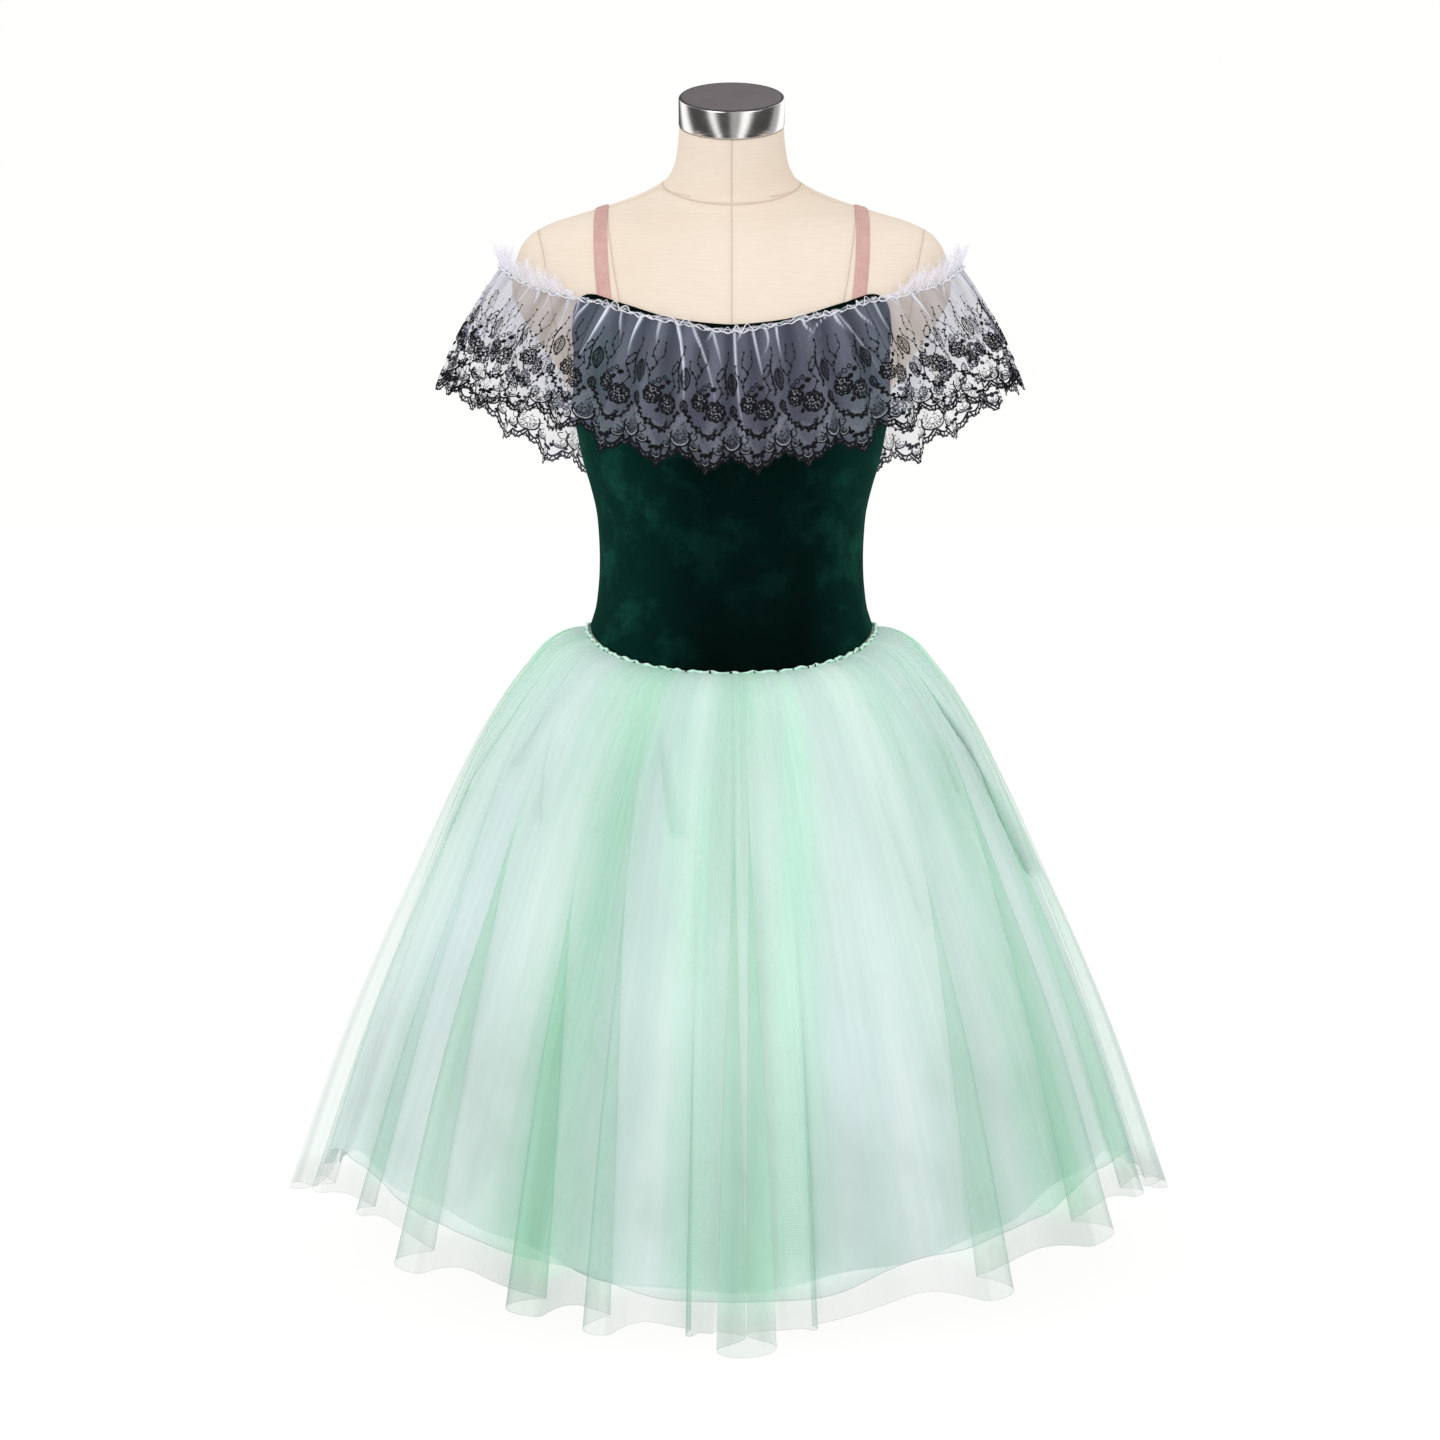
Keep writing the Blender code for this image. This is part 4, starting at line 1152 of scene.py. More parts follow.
def heading_height(share, ply, shoulder):
    """How far a ply stands above the gathers: tallest on the shoulders, and ragged."""
    ragged = 1.0 + 0.22 * sine(61, share, ply) * sine(97, share)
    ragged = ragged + 0.16 * sine(233, share, 2.0 * ply)
    torn = 0.55 + 0.45 * sine(47, share) * sine(29, share, 1)
    ragged = ragged * (torn + (1.0 - torn) * shoulder)
    return (HEADING_FRONT + (HEADING_SHOULDER - HEADING_FRONT) * shoulder) * ragged


def build_heading(name, start, end, look):
    """The net's own edge above the gathers: two crumpled plies."""
    columns = round((end - start) * HEADING_COLUMNS)
    share = np.linspace(end, start, columns)[None, :]
    row = np.linspace(0.0, 1.0, HEADING_ROWS)[:, None]
    shoulder = smooth_step(0.25, 0.9, 1.0 - round_value(RUFFLE_SEWN, share))
    foot = ruffle_surface(share, 0.0)
    outward = level(foot)
    cut = flat_lines(share[0] * LACE_ROUND, row[:, 0] * HEADING_DOWN)
    made = []
    for ply in (0, 1):
        height = heading_height(share, ply, shoulder)
        curl = sine(118 + 9 * ply, share, 2.0 * sine(19, share))
        curl = curl + 0.6 * sine(187 - 8 * ply, share, ply)
        lean = (0.35 - 0.5 * ply) * height * shoulder
        out = row * (lean + 0.0021 * (0.4 + 0.6 * shoulder) * curl) + 0.0006 * ply
        points = foot + outward * out[..., None]
        points[..., 2] += row * height
        label = f"heading_{name}_{ply + 1}"
        mesh = grid_mesh(label, points, flat=cut, height=row)
        made.append(make_object(label, mesh, look))
    return made


def build_gathering_thread(look):
    """The white thread that gathers the lace, with its loose loops above the line."""
    share = np.arange(THREAD_STEPS) / THREAD_STEPS
    foot = ruffle_surface(share, 0.012)
    outward = level(foot)
    jitter = 0.0009 * sine(97, share) + 0.0006 * sine(59, share, 1)
    line = foot + outward * (0.0009 + 0.5 * jitter)[:, None]
    line[:, 2] += jitter
    thick = 0.00062 + 0.00034 * sine(57, share) * sine(71, share)
    make_object("gathering_thread", cord_mesh("gathering_thread", line, thick), look)
    turn = math.tau * 88 * share + 2.6 * sine(11, share) + sine(29, share)
    rise = (0.5 - 0.5 * np.cos(turn)) ** 0.8
    tall = 0.0046 + 0.0022 * sine(19, share, 0.5)
    forward = 0.0011 * np.sin(turn + 0.8)
    loops = foot + outward * (0.0012 + forward)[:, None]
    loops[:, 2] += rise * tall - 0.0004
    width = 0.00040 + 0.00016 * sine(41, share)
    make_object("gathering_loops", cord_mesh("gathering_loops", loops, width), look)


# The embroidery, drawn in millimetres: across from the middle of a repeat, and down from the
# gathers to the tip of the scallop

REPEAT_WIDTH = 46.0
REPEAT_DEPTH = 128.0
VALLEY = REPEAT_WIDTH / 2
THREAD = 1.6
STITCH = 1.1
EDGE_STEPS = 61
Stroke = namedtuple("Stroke", "points width")

# Ribbons of closer net below the roses: from, to and half width
RIBBONS = [
    ((-22.0, 80.0), (-1.0, 112.0), 4.6),
    ((22.0, 84.0), (9.0, 106.0), 4.0),
    ((-5.0, 92.0), (10.0, 96.0), 4.0),
]


def ribbons(share, down):
    """How close the net is at a point of the lace, from 0 to 1."""
    share, down = np.broadcast_arrays(share, down)
    x = ((share * SCALLOPS) % 1.0 - 0.5) * REPEAT_WIDTH
    y = down * REPEAT_DEPTH
    total = 0.35 * smooth_step(78.0, 96.0, y)
    for start, end, half in RIBBONS:
        ahead = np.subtract(end, start)
        length = np.hypot(*ahead)
        along = ((x - start[0]) * ahead[0] + (y - start[1]) * ahead[1]) / length
        away = ((x - start[0]) * ahead[1] - (y - start[1]) * ahead[0]) / length
        past = np.maximum(np.maximum(-along, along - length), 0.0)
        total = np.maximum(total, np.exp(-((np.hypot(away, past) / half) ** 4)))
    return total


def ahead_of(degrees):
    """A step of length 1 in the drawing."""
    return np.array([math.cos(math.radians(degrees)), math.sin(math.radians(degrees))])


def arc(x, y, radius, start_deg, end_deg, steps):
    """Part of a circle."""
    turn = np.radians(np.linspace(start_deg, end_deg, steps))
    return np.stack([x + radius * np.cos(turn), y + radius * np.sin(turn)], axis=-1)


def stipple(x, y, wide, high, count):
    """Short loose stitches scattered over an oval: the grey filling of shells and leaves."""
    made = []
    for _ in range(count):
        turn, reach = RNG.uniform(0.0, math.tau), RNG.uniform(0.0, 1.0) ** 0.5
        foot = np.array([x + wide * reach * math.cos(turn), y + high * reach * math.sin(turn)])
        tip = foot + ahead_of(RNG.uniform(0.0, 360.0)) * STITCH * RNG.uniform(0.6, 1.3)
        made.append(Stroke(np.array([foot, tip]), RNG.uniform(0.22, 0.42)))
    return made


def leaf(x, y, degrees, length, breadth, hatches, width=0.55):
    """A leaf's outline and midrib, with slanted filling stitches."""
    ahead = ahead_of(degrees)
    aside = np.array([-ahead[1], ahead[0]])
    foot = np.array([x, y])
    share = np.linspace(0.0, 1.0, 7)[:, None]
    bulge = np.sin(math.pi * share ** 0.85) * breadth / 2
    spine = foot + ahead * length * share
    made = [Stroke(spine + aside * bulge, width), Stroke(spine - aside * bulge, width)]
    made.append(Stroke(spine[::2], 0.35))
    for number in range(hatches):
        at = (number + 0.8) / (hatches + 1)
        middle = foot + ahead * length * at
        reach = math.sin(math.pi * at ** 0.85) * breadth / 2
        tip = ahead * length * 0.12
        made.append(Stroke(np.array([middle - tip * 0.4, middle + tip + aside * reach]), 0.3))
        made.append(Stroke(np.array([middle - tip * 0.4, middle + tip - aside * reach]), 0.3))
    return made


def drop_leaf(x, y, degrees, length, breadth):
    """A small solid leaf: one wide stitch with pointed ends."""
    share = np.linspace(0.0, 1.0, 5)
    points = np.array([x, y]) + ahead_of(degrees) * length * share[:, None]
    return [Stroke(points, breadth * np.sin(math.pi * (0.12 + 0.80 * share)))]


def ring(x, y, radius, width=0.45):
    """A small open circle."""
    return [Stroke(arc(x, y, radius, 0, 360, 9), width)]


def rose(x, y, radius, turn=0.0):
    """A dense rose: a coiled heart inside rings of petals."""
    angle = np.linspace(0.0, 2.2 * math.tau, 26) + math.radians(turn)
    reach = np.linspace(0.10, 0.40, 26) * radius
    heart = np.stack([x + reach * np.cos(angle), y + reach * np.sin(angle)], axis=-1)
    made = [Stroke(heart, 0.80)]
    for petals, distance, size, offset in ((6, 0.50, 0.30, 0.0), (9, 0.82, 0.27, 25.0)):
        for number in range(petals):
            degrees = turn + offset + number * 360.0 / petals
            middle = np.array([x, y]) + radius * distance * ahead_of(degrees)
            petal = arc(*middle, radius * size, degrees - 140, degrees + 140, 8)
            made.append(Stroke(petal, 0.85))
            made += drop_leaf(*middle, degrees, radius * size * 0.8, 0.9)
    return made


def twig(points, leaves, size, width):
    """A thin stem with small solid leaves to each side."""
    line = curve(points)
    made = [Stroke(line, width)]
    for number, place in enumerate(np.linspace(0.08, 0.98, leaves)):
        index = min(int(place * (len(line) - 1)), len(line) - 2)
        ahead = line[index + 1] - line[index]
        degrees = math.degrees(math.atan2(ahead[1], ahead[0]))
        side = 46.0 if number % 2 else -46.0
        grown = size * RNG.uniform(0.7, 1.25)
        made += drop_leaf(*line[index], degrees + side, grown, grown * 0.55)
    return made


def edge_y(x, inset):
    """The free edge in the drawing, moved in by inset."""
    share = np.asarray(x) / REPEAT_WIDTH / SCALLOPS + 0.5 / SCALLOPS
    return edge_down(share) * REPEAT_DEPTH - inset


def edge_line(inset):
    """A line along the free edge of one repeat."""
    x = np.linspace(-VALLEY, VALLEY, EDGE_STEPS)
    return np.stack([x, edge_y(x, inset)], axis=-1)


def edge_chain():
    """The corded edge: two lines with slanted ties between them and picots outside."""
    made = [Stroke(edge_line(0.6), 0.85), Stroke(edge_line(4.6), 1.05)]
    for number, place in enumerate(np.linspace(-VALLEY, VALLEY, 19)[:-1]):
        lean = 1.0 if number % 2 else -1.0
        outer = place - lean, edge_y(place - lean, 0.5)
        inner = place + lean, edge_y(place + lean, 4.6)
        made.append(Stroke(np.array([outer, inner]), 0.65))
        made.append(Stroke(arc(place + 1.2, edge_y(place + 1.2, 0.2), 1.0, -10, 190, 5), 0.45))
    return made


def shell(x, y, radius, lean, stitches):
    """A stippled shell that hangs over the edge, with rays towards its rim."""
    made = [Stroke(arc(x, y, radius, lean - 35, lean + 215, 13), 0.80)]
    for degrees in np.linspace(lean + 20, lean + 160, 7):
        ray = np.outer([0.35 * radius, 0.78 * radius], ahead_of(degrees))
        made.append(Stroke(np.array([x, y]) + ray, 0.28))
    return made + stipple(x, y, radius * 0.78, radius * 0.78, stitches)


SHELLS = [
    (VALLEY, 98.0, 8.2, 0.0),
    (-11.5, 104.0, 4.6, 20.0),
    (10.6, 105.0, 4.2, -20.0),
    (0.0, 116.0, 4.2, 0.0),
]


def shells():
    """A large shell over each valley, smaller ones beside it, and leaves in the tip."""
    made = []
    for x, y, radius, lean in SHELLS:
        made += shell(x, y, radius, lean, round(radius * radius))
    for x, y, degrees in ((-1.5, 110.0, 150.0), (0.0, 109.0, 90.0), (1.5, 110.0, 30.0)):
        made += drop_leaf(x, y, degrees, 5.4, 2.2)
    made += drop_leaf(-6.5, 106.0, 75.0, 3.6, 2.6) + drop_leaf(5.6, 107.0, 105.0, 3.6, 2.6)
    made += drop_leaf(-16.0, 106.5, 60.0, 3.2, 2.2) + drop_leaf(15.4, 107.0, 110.0, 3.2, 2.2)
    return made


def scrolls():
    """Leafy strips and curls between the roses and the edge."""
    made = twig([(-20, 74), (-16, 83), (-9, 91), (2, 96)], 12, 3.2, 0.6)
    made += twig([(19, 76), (17, 84), (10, 92), (5, 96)], 8, 3.0, 0.6)
    made.append(Stroke(arc(1.0, 86.0, 8.5, 5, 165, 15), 0.5))
    for degrees in np.linspace(15, 160, 9):
        foot = np.array([1.0, 86.0]) + 7.7 * ahead_of(degrees)
        made += drop_leaf(*foot, degrees + 90, 1.8, 1.2)
    made.append(Stroke(curve([(-13, 92), (-16, 97), (-12, 100), (-9, 96), (-12, 94)]), 0.5))
    made.append(Stroke(curve([(12, 96), (16, 98), (14, 102), (10, 100)]), 0.45))
    made += stipple(-19.0, 88.0, 3.0, 7.0, 22) + stipple(7.0, 90.0, 4.0, 5.0, 16)
    return made


def roses():
    """The pair of roses with its leaves, and the rings and leaf above it."""
    made = rose(-7.4, 66.0, 7.4) + rose(7.8, 72.5, 8.2, 20.0)
    made += drop_leaf(-2.0, 60.0, -35.0, 5.5, 2.6) + drop_leaf(-0.5, 77.0, 120.0, 4.6, 2.2)
    made += ring(-3.5, 53.0, 2.1, 0.55) + ring(1.4, 50.0, 1.8, 0.55) + ring(-7.6, 55.5, 1.4)
    made += drop_leaf(3.0, 54.0, -15.0, 5.6, 2.8)
    return made


def garland():
    """The upright leaf between two pairs of roses and the dark stem beside it."""
    made = leaf(VALLEY - 0.5, 38.0, 84.0, 20.0, 9.0, 8, 0.6)
    made += stipple(VALLEY, 48.0, 3.2, 7.0, 34)
    made += twig([(17, 30), (16, 42), (18, 52), (19, 60)], 6, 2.4, 0.7)
    made += leaf(VALLEY + 1.0, 66.0, 86.0, 11.0, 6.0, 4)
    made += stipple(VALLEY + 1.0, 71.0, 2.0, 3.6, 12)
    return made


def twigs():
    """Wiry stems that rise from the roses to the gathers."""
    made = twig([(-9, 59), (-13, 50), (-8, 40), (-13, 30), (-10, 20)], 7, 2.2, 0.36)
    made += twig([(-12, 46), (-18, 41), (-20, 32)], 4, 2.0, 0.32)
    made += twig([(9, 64), (13, 54), (8, 44), (13, 34)], 6, 2.2, 0.36)
    made += twig([(10, 47), (16, 36), (20, 20)], 5, 2.0, 0.32)
    made += twig([(-9, 39), (-2, 30), (-3, 20)], 4, 2.0, 0.32)
    return made


def pale_strokes():
    """The light cords: the rims of the shells and the eyes of the roses."""
    made = []
    for x, y, radius, _ in SHELLS:
        line = arc(x, y, radius * 0.84, 15, 165, 11)
        made.append(Stroke(line, 0.10 * radius * np.sin(np.linspace(0.35, math.pi - 0.35, 11))))
    for x, y, radius in ((-7.4, 66.0, 6.4), (7.8, 72.5, 7.2)):
        for _ in range(26):
            reach = ahead_of(RNG.uniform(0, 360)) * radius * RNG.uniform(0.15, 1.0)
            foot = np.array([x, y]) + reach
            tip = foot + ahead_of(RNG.uniform(0, 360)) * 0.9
            made.append(Stroke(np.array([foot, tip]), 0.5))
    return made


def stroke_sides(stroke):
    """The two long sides of a stroke, in the drawing."""
    ahead = np.gradient(stroke.points, axis=0)
    aside = unit(np.stack([-ahead[:, 1], ahead[:, 0]], axis=-1))
    half = np.broadcast_to(stroke.width * THREAD, len(ahead))[:, None] / 2
    return np.stack([stroke.points + aside * half, stroke.points - aside * half])


def place_strokes(label, strokes, start, end, rise, look):
    """Lays the drawing's strokes on one length of lace, repeat after repeat."""
    repeats = np.arange(math.floor(start * SCALLOPS) - 1, math.ceil(end * SCALLOPS) + 1)
    places, downs, faces, base = [], [], [], 0
    for stroke in strokes:
        middle = stroke.points[:, 0].mean() / REPEAT_WIDTH + 0.5
        share = (repeats + middle) / SCALLOPS
        kept = repeats[(share >= start) & (share < end)]
        x, y = np.moveaxis(stroke_sides(stroke), -1, 0)
        place = (kept[:, None, None] + 0.5 + x / REPEAT_WIDTH) / SCALLOPS
        places.append(place.ravel())
        downs.append(np.broadcast_to(y / REPEAT_DEPTH, place.shape).ravel())
        count = len(stroke.points)
        left = np.arange(count - 1)
        quads = np.stack([left, left + 1, left + 1 + count, left + count], axis=-1)
        firsts = base + 2 * count * np.arange(len(kept))
        faces.append((firsts[:, None, None] + quads).reshape(-1, 4))
        base += 2 * count * len(kept)
    share = np.concatenate(places)
    down = np.maximum(np.concatenate(downs), 0.01)
    points = ruffle_surface(share, down)
    along = ruffle_surface(share + STEP_ALONG, down) - points
    below = ruffle_surface(share, down + STEP_DOWN) - points
    normal = unit(np.cross(below, along))
    mesh = new_mesh(label, points + normal * rise, np.vstack(faces))
    mesh.shade_smooth()
    return make_object(label, mesh, look)


def build_ruffle(net, frill, white, black, pale):
    """The four lengths of lace with their headings and embroidery, and the thread."""
    dark = edge_chain() + shells() + scrolls() + roses() + garland() + twigs()
    light = pale_strokes()
    for name, (start, end) in RUFFLE_LENGTHS.items():
        lace = build_lace(name, start, end, net)
        extras = build_heading(name, start, end, frill)
        label = f"embroidery_{name}"
        extras.append(place_strokes(label, dark, start, end, BLACK_RISE, black))
        label = f"pale_cords_{name}"
        extras.append(place_strokes(label, light, start, end, PALE_RISE, pale))
    build_gathering_thread(white)


# The skirt

def skirt_directions():
    """The form angle whose level normal points in each direction, in degrees from the front."""
    angle = np.linspace(-math.pi / 2, math.pi * 1.5, DIRECTION_STEPS)
    outward = form_normal(waist_z(angle) - SEAM_DROP, angle)
    degrees = np.unwrap(np.arctan2(outward[:, 0], -outward[:, 1]))
    order = np.argsort(degrees)
    return np.degrees(degrees[order]), angle[order]


DIRECTIONS, DIRECTION_ANGLES = skirt_directions()


def skirt_point(degrees, share, lift, out, lower):
    """A point of a skirt layer in a direction from the front and at a share of its length."""
    degrees, share, lift, out, lower = np.broadcast_arrays(degrees, share, lift, out, lower)
    start = DIRECTIONS[0]
    angle = np.interp((degrees - start) % 360.0 + start, DIRECTIONS, DIRECTION_ANGLES)
    moved_out, moved_down = look_up(SKIRT_PROFILE, share)
    ahead = look_up(SKIRT_PROFILE, np.minimum(1.0, share + 0.01))
    behind = look_up(SKIRT_PROFILE, np.maximum(0.0, share - 0.01))
    seam_z = waist_z(angle) - SEAM_DROP
    seam = off_form(seam_z, angle, SEAM_LIFT)
    turn = np.radians(degrees)
    outward = np.stack([np.sin(turn), -np.cos(turn), 0 * turn], axis=-1)
    across, fall = ahead[0] - behind[0], ahead[1] - behind[1]
    normal = outward * fall[..., None]
    normal[..., 2] = across
    lift = lift * smooth_step(0.0, 0.10, share)
    point = seam + outward * (moved_out + out)[..., None] + unit(normal) * lift[..., None]
    high = look_up(HEM_RISE, np.abs((degrees + 180.0) % 360.0 - 180.0))[0]
    point[..., 2] -= moved_down * (1.0 - high / SKIRT_PROFILE[-1].down) + lower
    point[..., 2] += (SEAM_DROP - EDGE_DROP) * (1.0 - smooth_step(0.0, 0.12, share))
    point[..., 2] += WAIST_PUFF * np.sin(math.pi * np.clip(share / 0.14, 0.0, 1.0))
    return point


def tube_outline(fold):
    """The round loop of a tube of net, seen from above: along the hem, out, turns and plies."""
    place = np.linspace(-1.0, 1.0, FOLD_STEPS + 1)
    middle = (place[1:] + place[:-1]) / 2
    heading = -math.radians(TUBE_TURN_DEG) * np.sin(math.pi * middle)
    along = np.concatenate([[0.0], np.cumsum(np.cos(heading))])
    out = np.concatenate([[0.0], np.cumsum(np.sin(heading))])
    along = (along - along[-1] / 2) / np.ptp(along) * fold.width
    sharp = 0.6 * np.abs(np.sin(math.pi * place)) ** 14
    plies = np.full(along.shape, TUBE_PLIES)
    return along, out / out.max() * fold.height, sharp, plies


def lap_outline(fold):
    """A fold that laps over to one side, with its tip at 0: the same four values."""
    keys = np.array(LAP_OUTLINE)
    reach = np.where(keys[:, 0] < 0, fold.lead, fold.width)
    keys = np.stack([keys[:, 0] * reach, keys[:, 1] * fold.height], axis=-1)
    line = curve(keys, 4)
    sharp = np.exp(-((np.linalg.norm(line - keys[LAP_TIP], axis=1) / 0.0035) ** 2))
    inner = 0.5 * np.exp(-((np.linalg.norm(line - keys[LAP_FOOT], axis=1) / 0.0030) ** 2))
    along = line[:, 0] - fold.width
    plies = smooth_step(-0.001, 0.002, line[:, 0])
    values = [along, line[:, 1], np.maximum(sharp, inner), plies]
    if fold.side < 0:
        values = [value[::-1] for value in values]
        values[0] = -values[0]
    return values


def fold_outline(fold):
    """Along the hem, out, turns and plies of a tube or of a lapped fold."""
    return lap_outline(fold) if fold.side else tube_outline(fold)


def hem_table():
    """The direction at each distance round the plain hem, a little more than once round."""
    degrees = np.arange(-60.0, 480.0, 0.5)
    points = skirt_point(degrees, 1.0, 0.0, 0.0, 0.0)
    steps = np.linalg.norm(np.diff(points[:, :2], axis=0), axis=1)
    return degrees, np.concatenate([[0.0], np.cumsum(steps)])


def fold_pins(fold, start, sharp):
    """The points of a fold whose direction at the waist is known: number and degrees."""
    if fold.side:
        return [(start + int(np.argmax(sharp)), fold.angle_deg)]
    spread = math.degrees(fold.width) * TUBE_WAIST
    return [(start, fold.angle_deg - spread), (start + FOLD_STEPS, fold.angle_deg + spread)]


def waist_places(pins, length):
    """The direction at the waist of each point of the hem, even between the pinned ones."""
    at = [length[index] for index, _ in pins]
    known = [degrees for _, degrees in pins]
    at = [at[-1] - length[-1]] + at + [length[-1] + at[0]]
    known = [known[-1] - 360.0] + known + [known[0] + 360.0]
    return np.interp(length[:-1], at, known)


Hem = namedtuple("Hem", "degrees out lower turn plies length waist cut_length")


def over_hem():
    """The overskirt's hem with all of its folds, and where each point of it comes from."""
    table_degrees, table_length = hem_table()
    around, out, lower, turn, plies, pins = [], [], [], [], [], []
    folds = sorted(FOLDS)
    again = folds[0]._replace(angle_deg=folds[0].angle_deg + 360)
    for fold, after in zip(folds, folds[1:] + [again]):
        along, height, sharp, layers = fold_outline(fold)
        pins += fold_pins(fold, len(around), sharp)
        centre, next_centre = np.interp(
            [fold.angle_deg, after.angle_deg], table_degrees, table_length
        )
        around += list(centre + along)
        out += list(height)
        lower += list(fold.longer * np.maximum(height / fold.height, 0.0) ** 1.5)
        turn += list(sharp)
        plies += list(layers)
        gap_end = next_centre + fold_outline(after)[0][0]
        count = max(2, round((gap_end - around[-1]) / GAP_STEP))
        gap = np.linspace(around[-1], gap_end, count + 1)[1:-1]
        around += list(gap)
        for values in (out, lower, turn, plies):
            values += [0.0] * len(gap)
    whole = np.diff(np.interp([0.0, 360.0], table_degrees, table_length))[0]
    step = np.diff(around + [around[0] + whole])
    length = np.append(0.0, np.cumsum(np.hypot(step, np.diff(out + [out[0]]))))
    degrees = np.interp(around, table_length, table_degrees)
    arrays = [np.array(part) for part in (out, lower, turn, plies)]
    return Hem(degrees, *arrays, length[:-1], waist_places(pins, length), length[-1])


# Broad streaks of the overskirt: their direction at the waist and at the hem, where they
# begin and end along the length, how much thicker they look, and their colour
Band = namedtuple("Band", "top_deg hem_deg half_deg start end extra green bright")
BANDS = [
    Band(-18.5, -21.5, 9.6, -0.2, 1.3, 1.60, 1.00, 0.0),
    Band(-8.0, -8.0, 1.8, 0.05, 0.5, 0.4, 0.1, 0.7),
    Band(-4.0, -4.0, 2.6, 0.1, 1.3, 0.75, 0.6, 0.50),
    Band(1.0, 1.0, 4.4, -0.2, 1.3, 0.75, 0.80, 0.1),
    Band(11.0, 4.8, 3.3, -0.2, 1.1, 0.85, 0.4, 0.85),
    Band(21.0, 15.0, 2.5, 0.4, 1.2, 0.3, 0.4, 0.1),
    Band(33.0, 30.5, 5.5, 0.0, 1.3, 0.70, 0.75, 0.0),
    Band(48.0, 44.0, 7.0, 0.1, 1.3, 1.20, 0.95, 0.0),
    Band(66.0, 60.0, 7.0, 0.2, 1.3, 0.90, 0.85, 0.25),
    Band(-40.0, -39.0, 3.2, 0.15, 1.3, 1.25, 0.75, 0.0),
    Band(-58.0, -52.0, 4.0, 0.55, 1.3, 0.50, 0.6, 0.0),
    Band(-70.0, -72.0, 5.0, -0.2, 0.6, 0.4, 0.5, 0.0),
    Band(84.0, 86.0, 4.0, -0.2, 1.2, 0.4, 0.6, 0.2),
    Band(118.0, 122.0, 8.0, -0.2, 1.3, 1.0, 0.9, 0.0),
    Band(148.0, 150.0, 5.0, 0.1, 1.3, 0.6, 0.6, 0.0),
    Band(168.0, 165.0, 3.0, -0.2, 1.1, 0.7, 0.3, 0.9),
    Band(180.0, 178.0, 7.0, -0.2, 1.3, 0.9, 0.9, 0.0),
    Band(207.0, 204.0, 5.0, 0.0, 1.3, 0.6, 0.6, 0.0),
    Band(238.0, 240.0, 8.0, -0.2, 1.3, 1.0, 0.9, 0.0),
]

# Lines where the overskirt is tucked and shaded along one side of the fold
Tuck = namedtuple("Tuck", "top_deg top_share low_deg low_share side strength")
TUCKS = [
    Tuck(57.0, 0.10, 67.5, 0.53, 1.0, 1.0),
    Tuck(50.0, 0.06, 47.0, 0.34, 1.0, 0.3),
    Tuck(-56.0, 0.07, -70.0, 0.46, -1.0, 0.45),
    Tuck(-44.0, 0.10, -50.0, 0.30, 1.0, 0.35),
    Tuck(-40.0, 0.18, -34.0, 0.36, -1.0, 0.3),
    Tuck(-12.0, 0.16, -8.0, 0.34, 1.0, 0.3),
    Tuck(24.0, 0.22, 28.0, 0.52, 1.0, 0.25),
    Tuck(140.0, 0.14, 146.0, 0.44, 1.0, 0.5),
    Tuck(196.0, 0.18, 192.0, 0.46, -1.0, 0.4),
    Tuck(228.0, 0.12, 222.0, 0.42, -1.0, 0.5),
]


def band_values(degrees, share):
    """How thick, green and bright the overskirt looks at each point, with painted light below the
    waist.
    """
    thick, green, bright = (np.zeros(degrees.shape) for _ in range(3))
    for band in BANDS:
        centre = band.top_deg + (band.hem_deg - band.top_deg) * share
        away = (degrees - centre + 180.0) % 360.0 - 180.0
        near = np.exp(-np.abs(away / band.half_deg) ** 2.4)
        near = near * swell(band.start, band.start + 0.2, band.end - 0.2, band.end, share)
        thick = thick + band.extra * near
        green = np.maximum(green, band.green * near)
        bright = np.maximum(bright, band.bright * near)
    # Painted light: the net is brightened below the waist, fading out by a third of the way down.
    waist_painted_light = 0.75 * (1.0 - smooth_step(0.04, 0.30, share))
    upper = 1.0 - smooth_step(0.30, 0.80, share)
    return thick + 0.5 * upper, np.maximum(green, 0.50 * upper), np.maximum(bright, waist_painted_light)


def tuck_shade(degrees, share):
    """The soft shadow beside each tucked fold, from 0 to 1."""
    shade = np.zeros(degrees.shape)
    for tuck in TUCKS:
        along = (share - tuck.top_share) / (tuck.low_share - tuck.top_share)
        line = tuck.top_deg + (tuck.low_deg - tuck.top_deg) * along
        away = ((degrees - line + 180.0) % 360.0 - 180.0) * tuck.side
        inside = swell(0.0, 0.30, 0.93, 1.0, along)
        wide = 0.5 + (1.0 + 4.8 * tuck.strength) * np.clip(along, 0.0, 1.0)
        wedge = 0.45 * np.exp(-((np.maximum(away, 0.0) / wide) ** 3))
        edge = 0.55 * np.exp(-np.maximum(away, 0.0) / 0.7)
        soft = (wedge + edge) * np.exp(-((np.minimum(away, 0.0) / 0.30) ** 2))
        shade = np.maximum(shade, tuck.strength * soft * inside)
    return shade


def over_relief(length, share):
    """How far the overskirt's small gathers and slow waves stand out below the waist."""
    gathers = np.cos(math.tau * length / GATHER_SPACING + 2.2 * np.sin(length * 31.0))
    gathers = gathers * (0.65 + 0.35 * np.sin(length * 13.0 + 1.0))
    slow = np.cos(math.tau * length / SLOW_SPACING + 1.8 * np.sin(length * 9.0))
    small = 0.0004 + 0.0012 * swell(0.0, 0.04, 0.05, 0.20, share)
    large = 0.0020 * swell(0.0, 0.12, 0.25, 0.75, share)
    return gathers * small + slow * large


